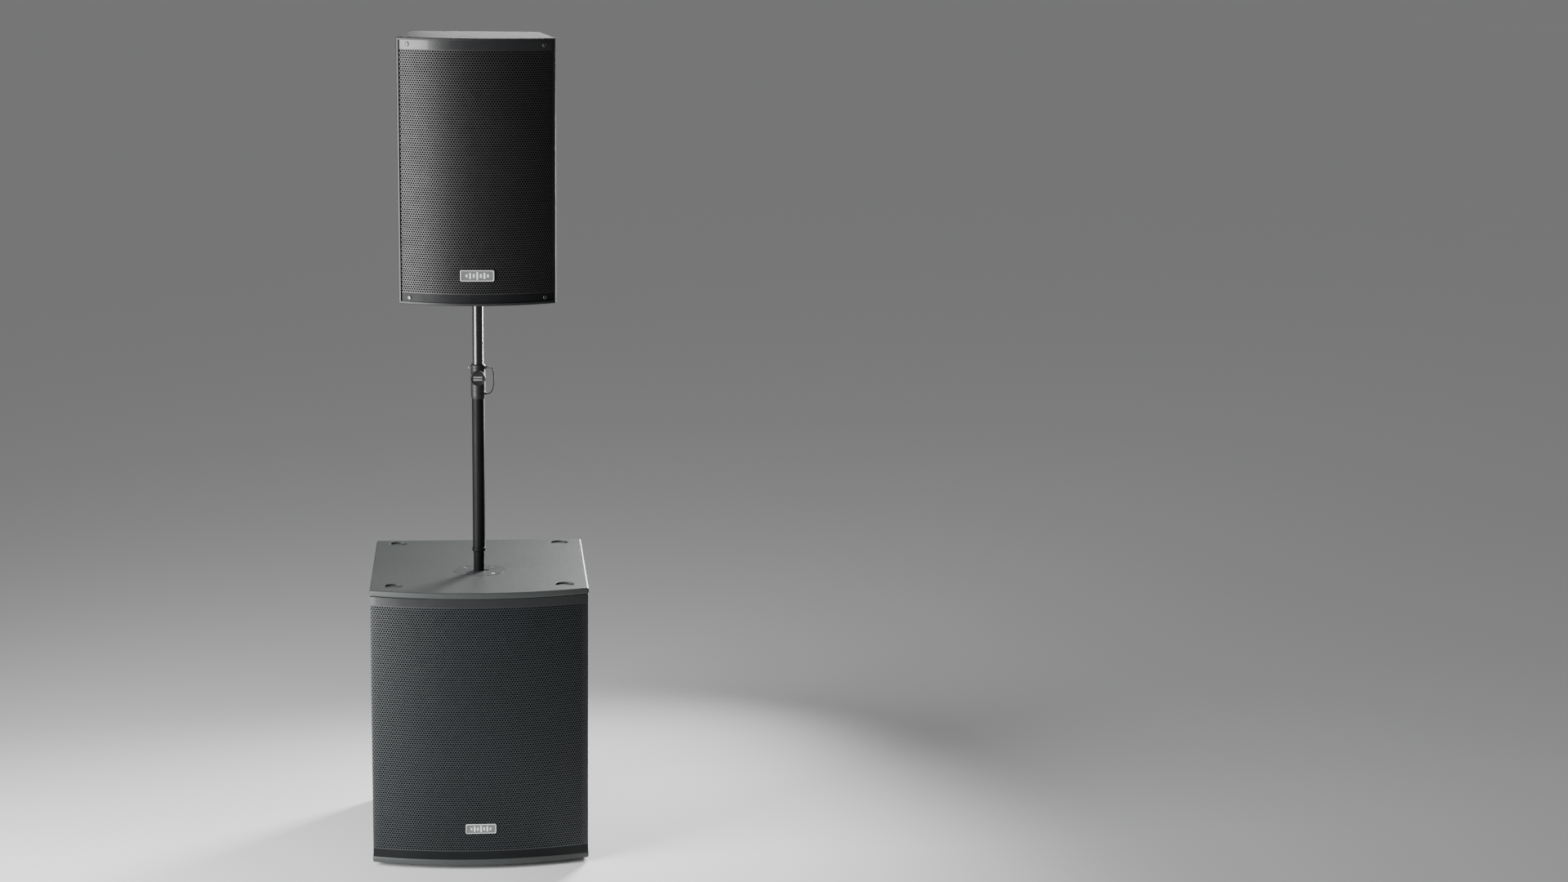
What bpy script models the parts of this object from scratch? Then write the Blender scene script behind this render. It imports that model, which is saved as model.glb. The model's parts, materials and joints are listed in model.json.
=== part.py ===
"""PA speaker stack: a wooden subwoofer, a telescopic distance pole and a moulded two-way top speaker.

Frame: metres, +Z up, front towards -Y. The origin is the centre of the stack's footprint on the floor.
Every object is one closed solid. Neighbouring solids keep a gap of GAP to each other.
"""
import math

import bmesh
import bpy
from mathutils import Matrix, Vector

GAP = 0.0003                      # clearance between touching pieces
SMOOTH_ANGLE = math.radians(35.0)

# ---- subwoofer cabinet -------------------------------------------------------------------------
SUB_HALF_WIDTH = 0.302            # top and bottom panels
SUB_SIDE_INSET = 0.002            # the sides stand in from the panels' edges
SUB_DEPTH = 0.635                 # back edge to the chord of the curved front
SUB_BULGE = 0.051                 # how far the front curves out past its chord
SUB_HEIGHT = 0.794
SUB_FOOT_HEIGHT = 0.012
BOARD = 0.018                     # board thickness
SUB_BACK_Y = (SUB_DEPTH + SUB_BULGE) / 2.0
SUB_CHORD_Y = SUB_BACK_Y - SUB_DEPTH
SUB_FLOOR_Z = SUB_FOOT_HEIGHT + BOARD
SUB_CEILING_Z = SUB_HEIGHT - BOARD
SUB_INNER_X = SUB_HALF_WIDTH - SUB_SIDE_INSET - BOARD
NOSING_RADIUS = 0.005
BACK_INSET = 0.012                # the back board stands in from the panels' rear edges
BAFFLE_Y = SUB_CHORD_Y + 0.012    # front face of the sub's baffle
PORT_HEIGHT = 0.078
PORT_DEPTH = 0.30
STACK_X = 0.237                   # feet and stacking recesses
STACK_FRONT_Y = SUB_CHORD_Y + 0.050
STACK_BACK_Y = SUB_BACK_Y - 0.047
RECESS_RADIUS = 0.026
RECESS_DEPTH = 0.005
FOOT_RADIUS = 0.021
HANDLE_Y = 0.030                  # centre of the side handles
HANDLE_Z = 0.500
HANDLE_DEPTH = 0.060
HANDLE_WINDOW = (0.0755, 0.0505)  # half size of the hole in the side wall
SUB_AMP = (0.420, 0.150, 0.200)   # rear panel: centre height, half width, half height
SUB_FIN_HEIGHT = 0.0075
SUB_WOOFER_RADIUS = 0.2315
SUB_WOOFER_Z = 0.452

# ---- grilles and badges ------------------------------------------------------------------------
GRILLE_THICKNESS = 0.0015
GRILLE_INSET = 0.003              # grille face behind the nosing or the lip
SUB_BADGE = (0.084, 0.027)
SUB_BADGE_Z = 0.119
TOP_BADGE = (0.091, 0.030)
BADGE_THICKNESS = 0.0022

# ---- pole --------------------------------------------------------------------------------------
POLE_Y = SUB_CHORD_Y + 0.231
LOWER_TUBE_RADIUS = 0.0175
UPPER_TUBE_RADIUS = 0.0150
TUBE_WALL = 0.0018
PLATE_RADIUS = 0.0715
PLATE_THICKNESS = 0.0045
CUP_RADIUS = 0.022
CUP_DEPTH = 0.058
STUD_RADIUS = 0.0097
SPIGOT_RADIUS = 0.0155
POLE_RING_Z = 0.850
POLE_RING_TOP = 0.862
POLE_PLUG_TOP = 0.882
COLLAR_LOW = 1.290
COLLAR_TOP = 1.388
COLLAR_STEP = 1.331               # top of the lower tube inside the collar
COLLAR_RADIUS = 0.0200
KNOB_Z = 1.353
KNOB_RADIUS = 0.0215
KNOB_BACK = 0.0310                # knob's rear face, in front of the pole axis
KNOB_LENGTH = 0.0160
SCREW_RADIUS = 0.0050
PIN_Z = 1.377
PIN_RADIUS = 0.0032
PIN_HOLE_RADIUS = 0.0040
PIN_TIP_X = -0.0270
PIN_HEAD_X = 0.0215
PIN_END_X = 0.0330
HOLE_PITCH = 0.060                # height steps of the pole
HOLES_ABOVE = 2
HOLES_BELOW = 4
UPPER_TUBE_LOW = 1.008
LANYARD_RADIUS = 0.0016
LANYARD_LUG_X = 0.0235            # end of the collar's lug
LANYARD_LUG_Z = 1.3030

# ---- top speaker -------------------------------------------------------------------------------
TOP_LOW = 1.583
TOP_HIGH = 2.303
TOP_HALF_WIDTH = 0.2135
TOP_BACK_HALF_WIDTH = 0.1800
TOP_CHORD_Y = POLE_Y - 0.180
TOP_DEPTH = 0.385
TOP_BACK_Y = TOP_CHORD_Y + TOP_DEPTH
TOP_BULGE = 0.060
TOP_BACK_RADIUS = 0.045
TOP_WALL = 0.006
TOP_LIP = 0.007
TOP_BAFFLE_Y = TOP_CHORD_Y + 0.020
TOP_BAFFLE_THICKNESS = 0.012
TOP_BADGE_Z = 1.666
SOCKET_RADIUS = 0.0180
SOCKET_TOP = TOP_LOW + 0.100
SCREW_INSET = (0.030, 0.018)      # grille screws, from the cabinet's side and end faces
TOP_TAPER_Y = TOP_CHORD_Y + 0.020  # the sides taper from here to the back
TOP_AMP = (1.850, 0.115, 0.190)   # rear panel: centre height, half width, half height
TOP_FIN_HEIGHT = 0.0080
TOP_WOOFER_RADIUS = 0.190
TOP_WOOFER_Z = TOP_LOW + 0.222
HORN_Z = TOP_LOW + 0.560
HORN_FLANGE = (0.175, 0.110)      # half width and half height
TOP_HANDLE_Y = (TOP_CHORD_Y + 0.170, TOP_CHORD_Y + 0.310)
TOP_HANDLE_Z = (TOP_LOW + 0.385, TOP_LOW + 0.480)

# ---- rear panels -------------------------------------------------------------------------------
PANEL_THICKNESS = 0.003
KNOB_SHAFT_RADIUS = 0.003
REAR_KNOB_RADIUS = 0.0085
REAR_KNOB_LENGTH = 0.0065
ROCKER_HALF_ANGLE = math.radians(12.0)
LEVEL_KNOB_X = -0.070
TONE_KNOB_X = -0.035
MODE_SWITCH_X = 0.045
INLET_X = 0.035
ROCKER_X = -0.050
SOCKET_PITCH = 0.030              # between the centres of the input and the output socket
CONTROLS_DOWN = 0.045             # from the panel's top edge to the knobs
SOCKETS_DOWN = 0.100
POWER_UP = 0.035                  # from the panel's bottom edge to the inlet and the rocker


# ================================================================================================
# Tools
# ================================================================================================
def clear_scene():
    for item in list(bpy.data.objects):
        bpy.data.objects.remove(item, do_unlink=True)


def finish(name, color, roughness, metallic=0.0):
    """A plain Principled material."""
    item = bpy.data.materials.new(name)
    item.use_nodes = True
    shader = item.node_tree.nodes["Principled BSDF"]
    shader.inputs["Base Color"].default_value = (*color, 1.0)
    shader.inputs["Roughness"].default_value = roughness
    shader.inputs["Metallic"].default_value = metallic
    return item


def to_mesh(name, shape):
    bmesh.ops.recalc_face_normals(shape, faces=shape.faces)
    mesh = bpy.data.meshes.new(name)
    shape.to_mesh(mesh)
    shape.free()
    mesh.shade_smooth()
    mesh.set_sharp_from_angle(angle=SMOOTH_ANGLE)
    return mesh


def piece(name, shape, material, origin=(0.0, 0.0, 0.0)):
    """Link a finished solid, with its object origin at the given point."""
    bmesh.ops.translate(shape, verts=shape.verts, vec=-Vector(origin))
    mesh = to_mesh(name, shape)
    mesh.materials.append(material)
    item = bpy.data.objects.new(name, mesh)
    item.location = origin
    bpy.context.scene.collection.objects.link(item)
    return item


def combine(item, shape, operation="DIFFERENCE"):
    """Cut a tool shape out of a piece, or join it on."""
    tool = bpy.data.objects.new(item.name + "_tool", to_mesh(item.name + "_tool", shape))
    tool.hide_render = True
    tool.display_type = "WIRE"
    bpy.context.scene.collection.objects.link(tool)
    modifier = item.modifiers.new(operation.title(), "BOOLEAN")
    modifier.operation = operation
    modifier.solver = "EXACT"
    modifier.object = tool


def round_edges(item, width, segments=2):
    modifier = item.modifiers.new("Bevel", "BEVEL")
    modifier.width = width
    modifier.segments = segments
    modifier.limit_method = "ANGLE"
    modifier.angle_limit = math.radians(40.0)


def merged(*shapes):
    """One bmesh holding several separate shapes."""
    result = bmesh.new()
    for shape in shapes:
        mesh = bpy.data.meshes.new("part")
        shape.to_mesh(mesh)
        shape.free()
        result.from_mesh(mesh)
        bpy.data.meshes.remove(mesh)
    return result


# ---- outlines ----------------------------------------------------------------------------------
def arc(centre, radius, start, end, steps):
    """Points on a circle, angles in degrees."""
    points = []
    for index in range(steps + 1):
        angle = math.radians(start + (end - start) * index / steps)
        points.append((centre[0] + radius * math.cos(angle), centre[1] + radius * math.sin(angle)))
    return points


def bulge_radius(half_width, bulge):
    return (half_width ** 2 + bulge ** 2) / (2.0 * bulge)


def bulge_arc(half_width, chord_y, bulge, steps):
    """The curved front, from its left end to its right end, bulging towards -Y."""
    radius = bulge_radius(half_width, bulge)
    half_angle = math.degrees(math.asin(half_width / radius))
    centre = (0.0, chord_y - bulge + radius)
    return arc(centre, radius, 270.0 - half_angle, 270.0 + half_angle, steps)


def rounded_rectangle(half_width, half_height, radius, steps=3):
    points = []
    corners = ((1, 1, 0), (-1, 1, 90), (-1, -1, 180), (1, -1, 270))
    for side, end, start in corners:
        centre = (side * (half_width - radius), end * (half_height - radius))
        points += arc(centre, radius, start, start + 90, steps)
    return points


# ---- solids ------------------------------------------------------------------------------------
def prism(outline, low, high, turn=None):
    """An outline in X and Y, extruded along Z, then turned by an optional matrix."""
    shape = bmesh.new()
    base = shape.faces.new([shape.verts.new((x, y, low)) for x, y in outline])
    grown = bmesh.ops.extrude_face_region(shape, geom=[base])
    moved = [item for item in grown["geom"] if isinstance(item, bmesh.types.BMVert)]
    bmesh.ops.translate(shape, verts=moved, vec=(0.0, 0.0, high - low))
    if turn is not None:
        bmesh.ops.transform(shape, matrix=turn, verts=shape.verts)
    return shape


def box(x_range, y_range, z_range):
    outline = [(x_range[0], y_range[0]), (x_range[1], y_range[0]),
               (x_range[1], y_range[1]), (x_range[0], y_range[1])]
    return prism(outline, z_range[0], z_range[1])


def turned(profile, segments, place=None, phase=0.0):
    """A solid of revolution about Z. A profile off the axis closes into a ring."""
    shape = bmesh.new()
    rings = []
    for radius, height in profile:
        if radius < 1e-7:
            rings.append([shape.verts.new((0.0, 0.0, height))])
            continue
        ring = []
        for index in range(segments):
            angle = 2.0 * math.pi * (index + phase) / segments
            ring.append(shape.verts.new((radius * math.cos(angle), radius * math.sin(angle), height)))
        rings.append(ring)
    pairs = list(zip(rings, rings[1:]))
    if len(rings[0]) > 1:
        pairs.append((rings[-1], rings[0]))
    for first, second in pairs:
        for index in range(segments):
            after = (index + 1) % segments
            if len(first) == 1:
                shape.faces.new((first[0], second[index], second[after]))
            elif len(second) == 1:
                shape.faces.new((first[index], second[0], first[after]))
            else:
                shape.faces.new((first[index], second[index], second[after], first[after]))
    if place is not None:
        bmesh.ops.transform(shape, matrix=place, verts=shape.verts)
    return shape


def rod(radius, low, high, segments, place=None, phase=0.0):
    return turned([(0.0, low), (radius, low), (radius, high), (0.0, high)], segments, place, phase)


def facing_front(x, y, z):
    """Local +Z points to the front (-Y)."""
    return Matrix.Translation((x, y, z)) @ Matrix.Rotation(math.radians(90.0), 4, "X")


def facing_back(x, y, z):
    """Local +Z points to the back (+Y)."""
    return Matrix.Translation((x, y, z)) @ Matrix.Rotation(math.radians(-90.0), 4, "X")


def facing_right(x, y, z):
    """Local +Z points to +X."""
    return Matrix.Translation((x, y, z)) @ Matrix.Rotation(math.radians(90.0), 4, "Y")


def lofted(loops, ring=False):
    """Join loops of equal length into a tube. A ring closes on itself, otherwise both ends are capped."""
    shape = bmesh.new()
    rows = [[shape.verts.new(point) for point in loop] for loop in loops]
    pairs = list(zip(rows, rows[1:]))
    if ring:
        pairs.append((rows[-1], rows[0]))
    else:
        shape.faces.new(rows[0])
        shape.faces.new(rows[-1])
    for first, second in pairs:
        for index in range(len(first)):
            after = (index + 1) % len(first)
            shape.faces.new((first[index], second[index], second[after], first[after]))
    return shape


# ================================================================================================
# Drivers and electronics, shared by both cabinets
# ================================================================================================
def scaled(profile, unit):
    return [(radius * unit, height * unit) for radius, height in profile]


def woofer(prefix, unit, baffle_y, centre_z, finishes):
    """A woofer whose frame has the radius `unit`, bolted to the front of a baffle."""
    place = facing_front(0.0, baffle_y, centre_z)

    rim = [(unit, 0.040 * unit), (unit, GAP), (0.905 * unit, GAP)]
    frame = [(0.885, -0.130), (0.490, -0.520), (0.225, -0.520), (0.225, -0.500), (0.478, -0.500),
             (0.865, -0.117), (0.868, 0.002), (0.892, 0.002), (0.892, 0.040)]
    basket = piece(prefix + "_woofer_basket", turned(rim + scaled(frame, unit), 24, place), finishes["cast"])
    windows = []
    for index in range(6):
        turn = place @ Matrix.Rotation(math.radians(60.0 * index), 4, "Z")
        window = box((0.40 * unit, 1.00 * unit), (-0.16 * unit, 0.16 * unit), (-0.44 * unit, -0.19 * unit))
        bmesh.ops.transform(window, matrix=turn, verts=window.verts)
        windows.append(window)
    combine(basket, merged(*windows))

    magnet = [(0.0, -0.525), (0.149, -0.525), (0.149, -0.600), (0.180, -0.600), (0.180, -0.525),
              (0.365, -0.525), (0.380, -0.540), (0.380, -0.715), (0.365, -0.730), (0.0, -0.730)]
    piece(prefix + "_woofer_magnet", turned(scaled(magnet, unit), 20, place), finishes["steel"])

    cone = [(0.0, -0.225), (0.130, -0.240), (0.205, -0.290), (0.765, 0.012), (0.765, 0.002),
            (0.215, -0.300), (0.168, -0.330), (0.168, -0.560), (0.160, -0.560), (0.160, -0.320),
            (0.195, -0.298), (0.125, -0.252), (0.0, -0.237)]
    piece(prefix + "_woofer_cone", turned(scaled(cone, unit), 24, place), finishes["paper"],
          origin=(0.0, baffle_y, centre_z))

    outer_roll = arc((0.8325, 0.012), 0.0425, 0.0, 180.0, 4)
    inner_roll = arc((0.8325, 0.004), 0.0345, 180.0, 0.0, 4)
    surround = [(0.768, 0.004)] + inner_roll + [(0.889, 0.004), (0.889, 0.012)] + outer_roll
    surround.append((0.768, 0.012))
    piece(prefix + "_woofer_surround", turned(scaled(surround, unit), 24, place), finishes["rubber"])


def amp_board(prefix, y_inner, centre_z, finishes):
    """Amplifier board on the inside of the rear panel: transformer, coil and two capacitors."""
    plate = box((-0.085, 0.085), (y_inner - 0.0436, y_inner - 0.0420), (centre_z - 0.110, centre_z + 0.110))
    board = piece(prefix + "_amp_board", plate, finishes["board"])
    back = y_inner - 0.0430
    parts = [box((-0.070, -0.015), (back - 0.045, back), (centre_z - 0.095, centre_z - 0.040)),
             box((0.010, 0.070), (back - 0.030, back), (centre_z - 0.090, centre_z - 0.050)),
             box((-0.075, 0.075), (back - 0.022, back), (centre_z + 0.020, centre_z + 0.035))]
    for x in (-0.040, 0.040):
        parts.append(rod(0.015, 0.0, 0.040, 12, facing_front(x, back, centre_z + 0.075)))
    combine(board, merged(*parts), "UNION")


def rear_panel(prefix, centre_z, half_width, half_height, y_face, fin_height, finishes):
    """Control plate with cooling fins and every control and socket on it."""
    y_plate = y_face + GAP
    y_outer = y_plate + PANEL_THICKNESS
    plate = piece(prefix + "_amp_panel",
                  box((-half_width, half_width), (y_plate, y_outer),
                      (centre_z - half_height, centre_z + half_height)), finishes["panel"])
    controls_z = centre_z + half_height - CONTROLS_DOWN
    sockets_z = centre_z + half_height - SOCKETS_DOWN
    power_z = centre_z - half_height + POWER_UP
    knob_x = (LEVEL_KNOB_X, TONE_KNOB_X)
    openings = [rod(KNOB_SHAFT_RADIUS + 0.0005, -0.01, 0.01, 12, facing_back(x, y_outer, controls_z))
                for x in knob_x]
    for x, z, half_x, half_z in ((0.0, sockets_z, 0.0305, 0.0155), (INLET_X, power_z, 0.0150, 0.0110),
                                 (ROCKER_X, power_z, 0.0075, 0.0125), (MODE_SWITCH_X, controls_z, 0.0060, 0.0060)):
        openings.append(box((x - half_x, x + half_x), (y_plate - 0.01, y_outer + 0.01), (z - half_z, z + half_z)))
    combine(plate, merged(*openings))
    fin_low = power_z + 0.030
    fin_high = sockets_z - 0.035
    combine(plate, heatsink(half_width - 0.020, y_outer, fin_height, fin_low, fin_high), "UNION")

    for name, x in zip(("level_knob", "tone_knob"), knob_x):
        rear_knob(prefix + "_" + name, x, y_outer, controls_z, finishes)
    signal_sockets(prefix, y_outer, sockets_z, finishes)
    mains_inlet(prefix, INLET_X, y_outer, power_z, finishes)
    power_rocker(prefix, ROCKER_X, y_plate, power_z, finishes)
    mode_switch(prefix, MODE_SWITCH_X, y_plate, controls_z, finishes)
    amp_board(prefix, y_face, centre_z, finishes)


def heatsink(half_width, y_outer, fin_height, low, high):
    """A comb outline seen from above, extruded upwards."""
    fins = 9
    pitch = 2.0 * half_width / (fins - 1)
    fin = 0.0016
    outline = [(-half_width - fin, y_outer - 0.001)]
    for index in range(fins):
        x = -half_width + pitch * index
        outline += [(x - fin, y_outer + 0.0015), (x - fin, y_outer + fin_height),
                    (x + fin, y_outer + fin_height), (x + fin, y_outer + 0.0015)]
    outline.append((half_width + fin, y_outer - 0.001))
    return prism(outline, low, high)


def rear_knob(name, x, y_outer, z, finishes):
    base = 0.0006
    profile = [(0.0, -0.008), (KNOB_SHAFT_RADIUS, -0.008), (KNOB_SHAFT_RADIUS, base), (REAR_KNOB_RADIUS, base),
               (REAR_KNOB_RADIUS * 0.94, REAR_KNOB_LENGTH - 0.0006),
               (REAR_KNOB_RADIUS * 0.86, REAR_KNOB_LENGTH), (0.0, REAR_KNOB_LENGTH)]
    place = facing_back(x, y_outer, z)
    knob = piece(name, turned(profile, 16, place), finishes["knob"], origin=(x, y_outer, z))
    pointer = box((-0.0006, 0.0006), (y_outer + REAR_KNOB_LENGTH - 0.001, y_outer + REAR_KNOB_LENGTH + 0.0005),
                  (0.0015, REAR_KNOB_RADIUS * 0.80))
    bmesh.ops.translate(pointer, verts=pointer.verts, vec=(x, 0.0, z))
    combine(knob, pointer, "UNION")


def framed_block(name, x, y_outer, z, flange, body, depth, finish_):
    """A panel-mounted block: a flange outside the plate and a body that reaches inside it."""
    block = piece(name, box((x - flange[0], x + flange[0]), (y_outer + GAP, y_outer + 0.0023),
                            (z - flange[1], z + flange[1])), finish_)
    combine(block, box((x - body[0], x + body[0]), (y_outer - depth, y_outer + 0.0013),
                       (z - body[1], z + body[1])), "UNION")
    return block


def signal_sockets(prefix, y_outer, z, finishes):
    """Input socket with three contact holes, and link output with three pins."""
    block = framed_block(prefix + "_signal_sockets", 0.0, y_outer, z, (0.0340, 0.0185), (0.0300, 0.0150),
                         0.022, finishes["socket"])
    x_input, x_output = -SOCKET_PITCH / 2.0, SOCKET_PITCH / 2.0
    ring = [(0.0090, -0.012), (0.0115, -0.012), (0.0115, 0.01), (0.0090, 0.01)]
    cuts = [turned(ring, 16, facing_back(x_input, y_outer, z)),
            rod(0.0112, -0.014, 0.01, 16, facing_back(x_output, y_outer, z))]
    for angle in (90.0, 210.0, 330.0):
        dx = 0.0050 * math.cos(math.radians(angle))
        dz = 0.0050 * math.sin(math.radians(angle))
        cuts.append(rod(0.0014, -0.010, 0.01, 6, facing_back(x_input + dx, y_outer, z + dz)))
    combine(block, merged(*cuts))
    pins = []
    for angle in (90.0, 210.0, 330.0):
        dx = 0.0065 * math.cos(math.radians(angle))
        dz = 0.0065 * math.sin(math.radians(angle))
        pins.append(rod(0.0012, -0.015, -0.002, 6, facing_back(x_output + dx, y_outer, z + dz)))
    combine(block, merged(*pins), "UNION")


def mains_inlet(prefix, x, y_outer, z, finishes):
    inlet = framed_block(prefix + "_mains_inlet", x, y_outer, z, (0.0240, 0.0140), (0.0145, 0.0105),
                         0.024, finishes["socket"])
    combine(inlet, box((x - 0.0120, x + 0.0120), (y_outer - 0.0170, y_outer + 0.01), (z - 0.0080, z + 0.0080)))
    blades = []
    for dx, dz in ((-0.007, 0.0035), (0.0, 0.0035), (0.007, 0.0035)):
        blades.append(box((x + dx - 0.0010, x + dx + 0.0010), (y_outer - 0.0180, y_outer - 0.0040),
                          (z + dz - 0.0020, z + dz + 0.0020)))
    combine(inlet, merged(*blades), "UNION")


def power_rocker(prefix, x, y_plate, z, finishes):
    """A rocker that pivots about X in the panel, drawn with its upper half pressed in."""
    profile = [(0.0048, -0.0110), (0.0026, 0.0), (0.0048, 0.0110), (-0.0020, 0.0110), (-0.0060, 0.0),
               (-0.0020, -0.0110)]
    cosine, sine = math.cos(ROCKER_HALF_ANGLE), math.sin(ROCKER_HALF_ANGLE)
    turned_profile = [(y * cosine - height * sine, y * sine + height * cosine) for y, height in profile]
    loops = []
    for side in (x - 0.0070, x + 0.0070):
        loops.append([(side, y_plate + 0.0015 + y, z + height) for y, height in turned_profile])
    piece(prefix + "_power_rocker", lofted(loops), finishes["knob"], origin=(x, y_plate + 0.0015, z))


def mode_switch(prefix, x, y_plate, z, finishes):
    """A small slide switch, drawn at the lower end of its travel."""
    stem = box((x - 0.0030, x + 0.0030), (y_plate - 0.0020, y_plate + 0.0062), (z - 0.0055, z + 0.0005))
    switch = piece(prefix + "_mode_switch", stem, finishes["knob"])
    round_edges(switch, 0.0004, 1)


# ================================================================================================
# Subwoofer
# ================================================================================================
def panel_outline(steps=14):
    front = bulge_arc(SUB_HALF_WIDTH, SUB_CHORD_Y, SUB_BULGE, steps)
    return front + [(SUB_HALF_WIDTH, SUB_BACK_Y), (-SUB_HALF_WIDTH, SUB_BACK_Y)]


def stack_points():
    return [(side * STACK_X, y) for y in (STACK_FRONT_Y, STACK_BACK_Y) for side in (-1, 1)]


def sub_panels(finishes):
    wood = finishes["wood"]
    bottom = piece("sub_bottom_panel", prism(panel_outline(), SUB_FOOT_HEIGHT, SUB_FLOOR_Z), wood)
    round_edges(bottom, NOSING_RADIUS)
    top = piece("sub_top_panel", prism(panel_outline(), SUB_CEILING_Z, SUB_HEIGHT), wood)
    round_edges(top, NOSING_RADIUS)
    cuts = []
    for x, y in stack_points():
        cuts.append(rod(RECESS_RADIUS, SUB_HEIGHT - RECESS_DEPTH, SUB_HEIGHT + 0.01, 16,
                        Matrix.Translation((x, y, 0.0))))
    step = SUB_HEIGHT - PLATE_THICKNESS
    seat = [(0.0, SUB_CEILING_Z - 0.01), (CUP_RADIUS + 0.0006, SUB_CEILING_Z - 0.01), (CUP_RADIUS + 0.0006, step),
            (PLATE_RADIUS + 0.0006, step), (PLATE_RADIUS + 0.0006, SUB_HEIGHT + 0.01), (0.0, SUB_HEIGHT + 0.01)]
    cuts.append(turned(seat, 28, Matrix.Translation((0.0, POLE_Y, 0.0))))
    combine(top, merged(*cuts))


def sub_walls(finishes):
    wood = finishes["wood"]
    low, high = SUB_FLOOR_Z + GAP, SUB_CEILING_Z - GAP
    for name, side in (("left", -1), ("right", 1)):
        x_pair = sorted((side * SUB_INNER_X, side * (SUB_INNER_X + BOARD)))
        wall = piece("sub_" + name + "_side", box(x_pair, (SUB_CHORD_Y, SUB_BACK_Y - 0.001), (low, high)), wood)
        window = box(sorted((side * (SUB_INNER_X - 0.01), side * (SUB_INNER_X + BOARD + 0.01))),
                     (HANDLE_Y - HANDLE_WINDOW[0], HANDLE_Y + HANDLE_WINDOW[0]),
                     (HANDLE_Z - HANDLE_WINDOW[1], HANDLE_Z + HANDLE_WINDOW[1]))
        combine(wall, window)
        sub_handle("sub_" + name + "_handle", side, finishes)

    inner = SUB_INNER_X - GAP
    back_outer = SUB_BACK_Y - BACK_INSET
    back = piece("sub_back_panel", box((-inner, inner), (back_outer - BOARD, back_outer), (low, high)), wood)
    combine(back, box((-SUB_AMP[1] + 0.012, SUB_AMP[1] - 0.012), (back_outer - 0.05, back_outer + 0.02),
                      (SUB_AMP[0] - SUB_AMP[2] + 0.012, SUB_AMP[0] + SUB_AMP[2] - 0.012)))

    shelf_low = SUB_FLOOR_Z + PORT_HEIGHT
    piece("sub_port_shelf", box((-inner, inner), (BAFFLE_Y, BAFFLE_Y + PORT_DEPTH),
                                (shelf_low, shelf_low + BOARD)), wood)
    baffle = piece("sub_baffle", box((-inner, inner), (BAFFLE_Y, BAFFLE_Y + BOARD),
                                     (shelf_low + BOARD + GAP, high)), wood)
    combine(baffle, rod(SUB_WOOFER_RADIUS * 0.920, -0.05, 0.05, 32, facing_front(0.0, BAFFLE_Y, SUB_WOOFER_Z)))


def sub_handle(name, side, finishes):
    """Moulded cup with a flange on the outside and a grip bar across its mouth."""
    face = side * (SUB_INNER_X + BOARD)

    def loop(half_y, half_z, radius, inward):
        x = face - side * inward
        return [(x, HANDLE_Y + a, HANDLE_Z + b) for a, b in rounded_rectangle(half_y, half_z, radius, 2)]

    loops = [loop(0.064, 0.040, 0.010, HANDLE_DEPTH - 0.003), loop(0.071, 0.047, 0.012, -0.0017),
             loop(0.090, 0.065, 0.012, -0.0017), loop(0.090, 0.065, 0.012, -GAP),
             loop(0.074, 0.050, 0.014, -GAP), loop(0.067, 0.043, 0.012, HANDLE_DEPTH)]
    handle = piece(name, lofted(loops), finishes["plastic"])
    turn = Matrix.Translation((face - side * 0.014, HANDLE_Y, HANDLE_Z + 0.022)) @ Matrix.Rotation(
        math.radians(90.0), 4, "X")
    combine(handle, rod(0.0105, -0.0725, 0.0725, 14, turn), "UNION")


def sub_feet(finishes):
    for index, (x, y) in enumerate(stack_points(), start=1):
        profile = [(0.0, 0.0), (FOOT_RADIUS - 0.002, 0.0), (FOOT_RADIUS, 0.002),
                   (FOOT_RADIUS, SUB_FOOT_HEIGHT - GAP), (0.0, SUB_FOOT_HEIGHT - GAP)]
        piece("sub_foot_%d" % index, turned(profile, 20, Matrix.Translation((x, y, 0.0))), finishes["rubber"])


def curved_sheet(half_width, chord_y, bulge, thickness, low, high, steps=16):
    """A sheet bent to the curved front, cut off square where it meets the chord."""
    radius = bulge_radius(half_width, bulge)
    to_chord = radius - bulge
    inner_half_width = math.sqrt((radius - thickness) ** 2 - to_chord ** 2)
    outer = bulge_arc(half_width, chord_y, bulge, steps)
    inner = bulge_arc(inner_half_width, chord_y, bulge - thickness, steps)
    return prism(outer + list(reversed(inner)), low, high)


def badge(name, size, y_front, z, finishes):
    outline = rounded_rectangle(size[0] / 2.0, size[1] / 2.0, 0.004, 3)
    plate = prism(outline, GAP, GAP + BADGE_THICKNESS, facing_front(0.0, y_front, z))
    item = piece(name, plate, finishes["badge"])
    round_edges(item, 0.0006, 1)


def sub_front(finishes):
    bulge = SUB_BULGE - GRILLE_INSET
    half_width = SUB_INNER_X + BOARD
    sheet = curved_sheet(half_width, SUB_CHORD_Y - GAP, bulge, GRILLE_THICKNESS, SUB_FLOOR_Z + GAP,
                         SUB_CEILING_Z - GAP)
    piece("sub_grille", sheet, finishes["grille"])
    badge("sub_badge", SUB_BADGE, SUB_CHORD_Y - GAP - bulge, SUB_BADGE_Z, finishes)


def build_subwoofer(finishes):
    sub_panels(finishes)
    sub_walls(finishes)
    sub_feet(finishes)
    sub_front(finishes)
    woofer("sub", SUB_WOOFER_RADIUS, BAFFLE_Y, SUB_WOOFER_Z, finishes)
    rear_panel("sub", *SUB_AMP, SUB_BACK_Y - BACK_INSET, SUB_FIN_HEIGHT, finishes)


# ================================================================================================
# Distance pole
# ================================================================================================
def pole_at(z):
    return Matrix.Translation((0.0, POLE_Y, z))


def tube(outer, wall, low, high, segments=20):
    inner = outer - wall
    return turned([(outer, low), (outer, high), (inner, high), (inner, low)], segments, pole_at(0.0))


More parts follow.
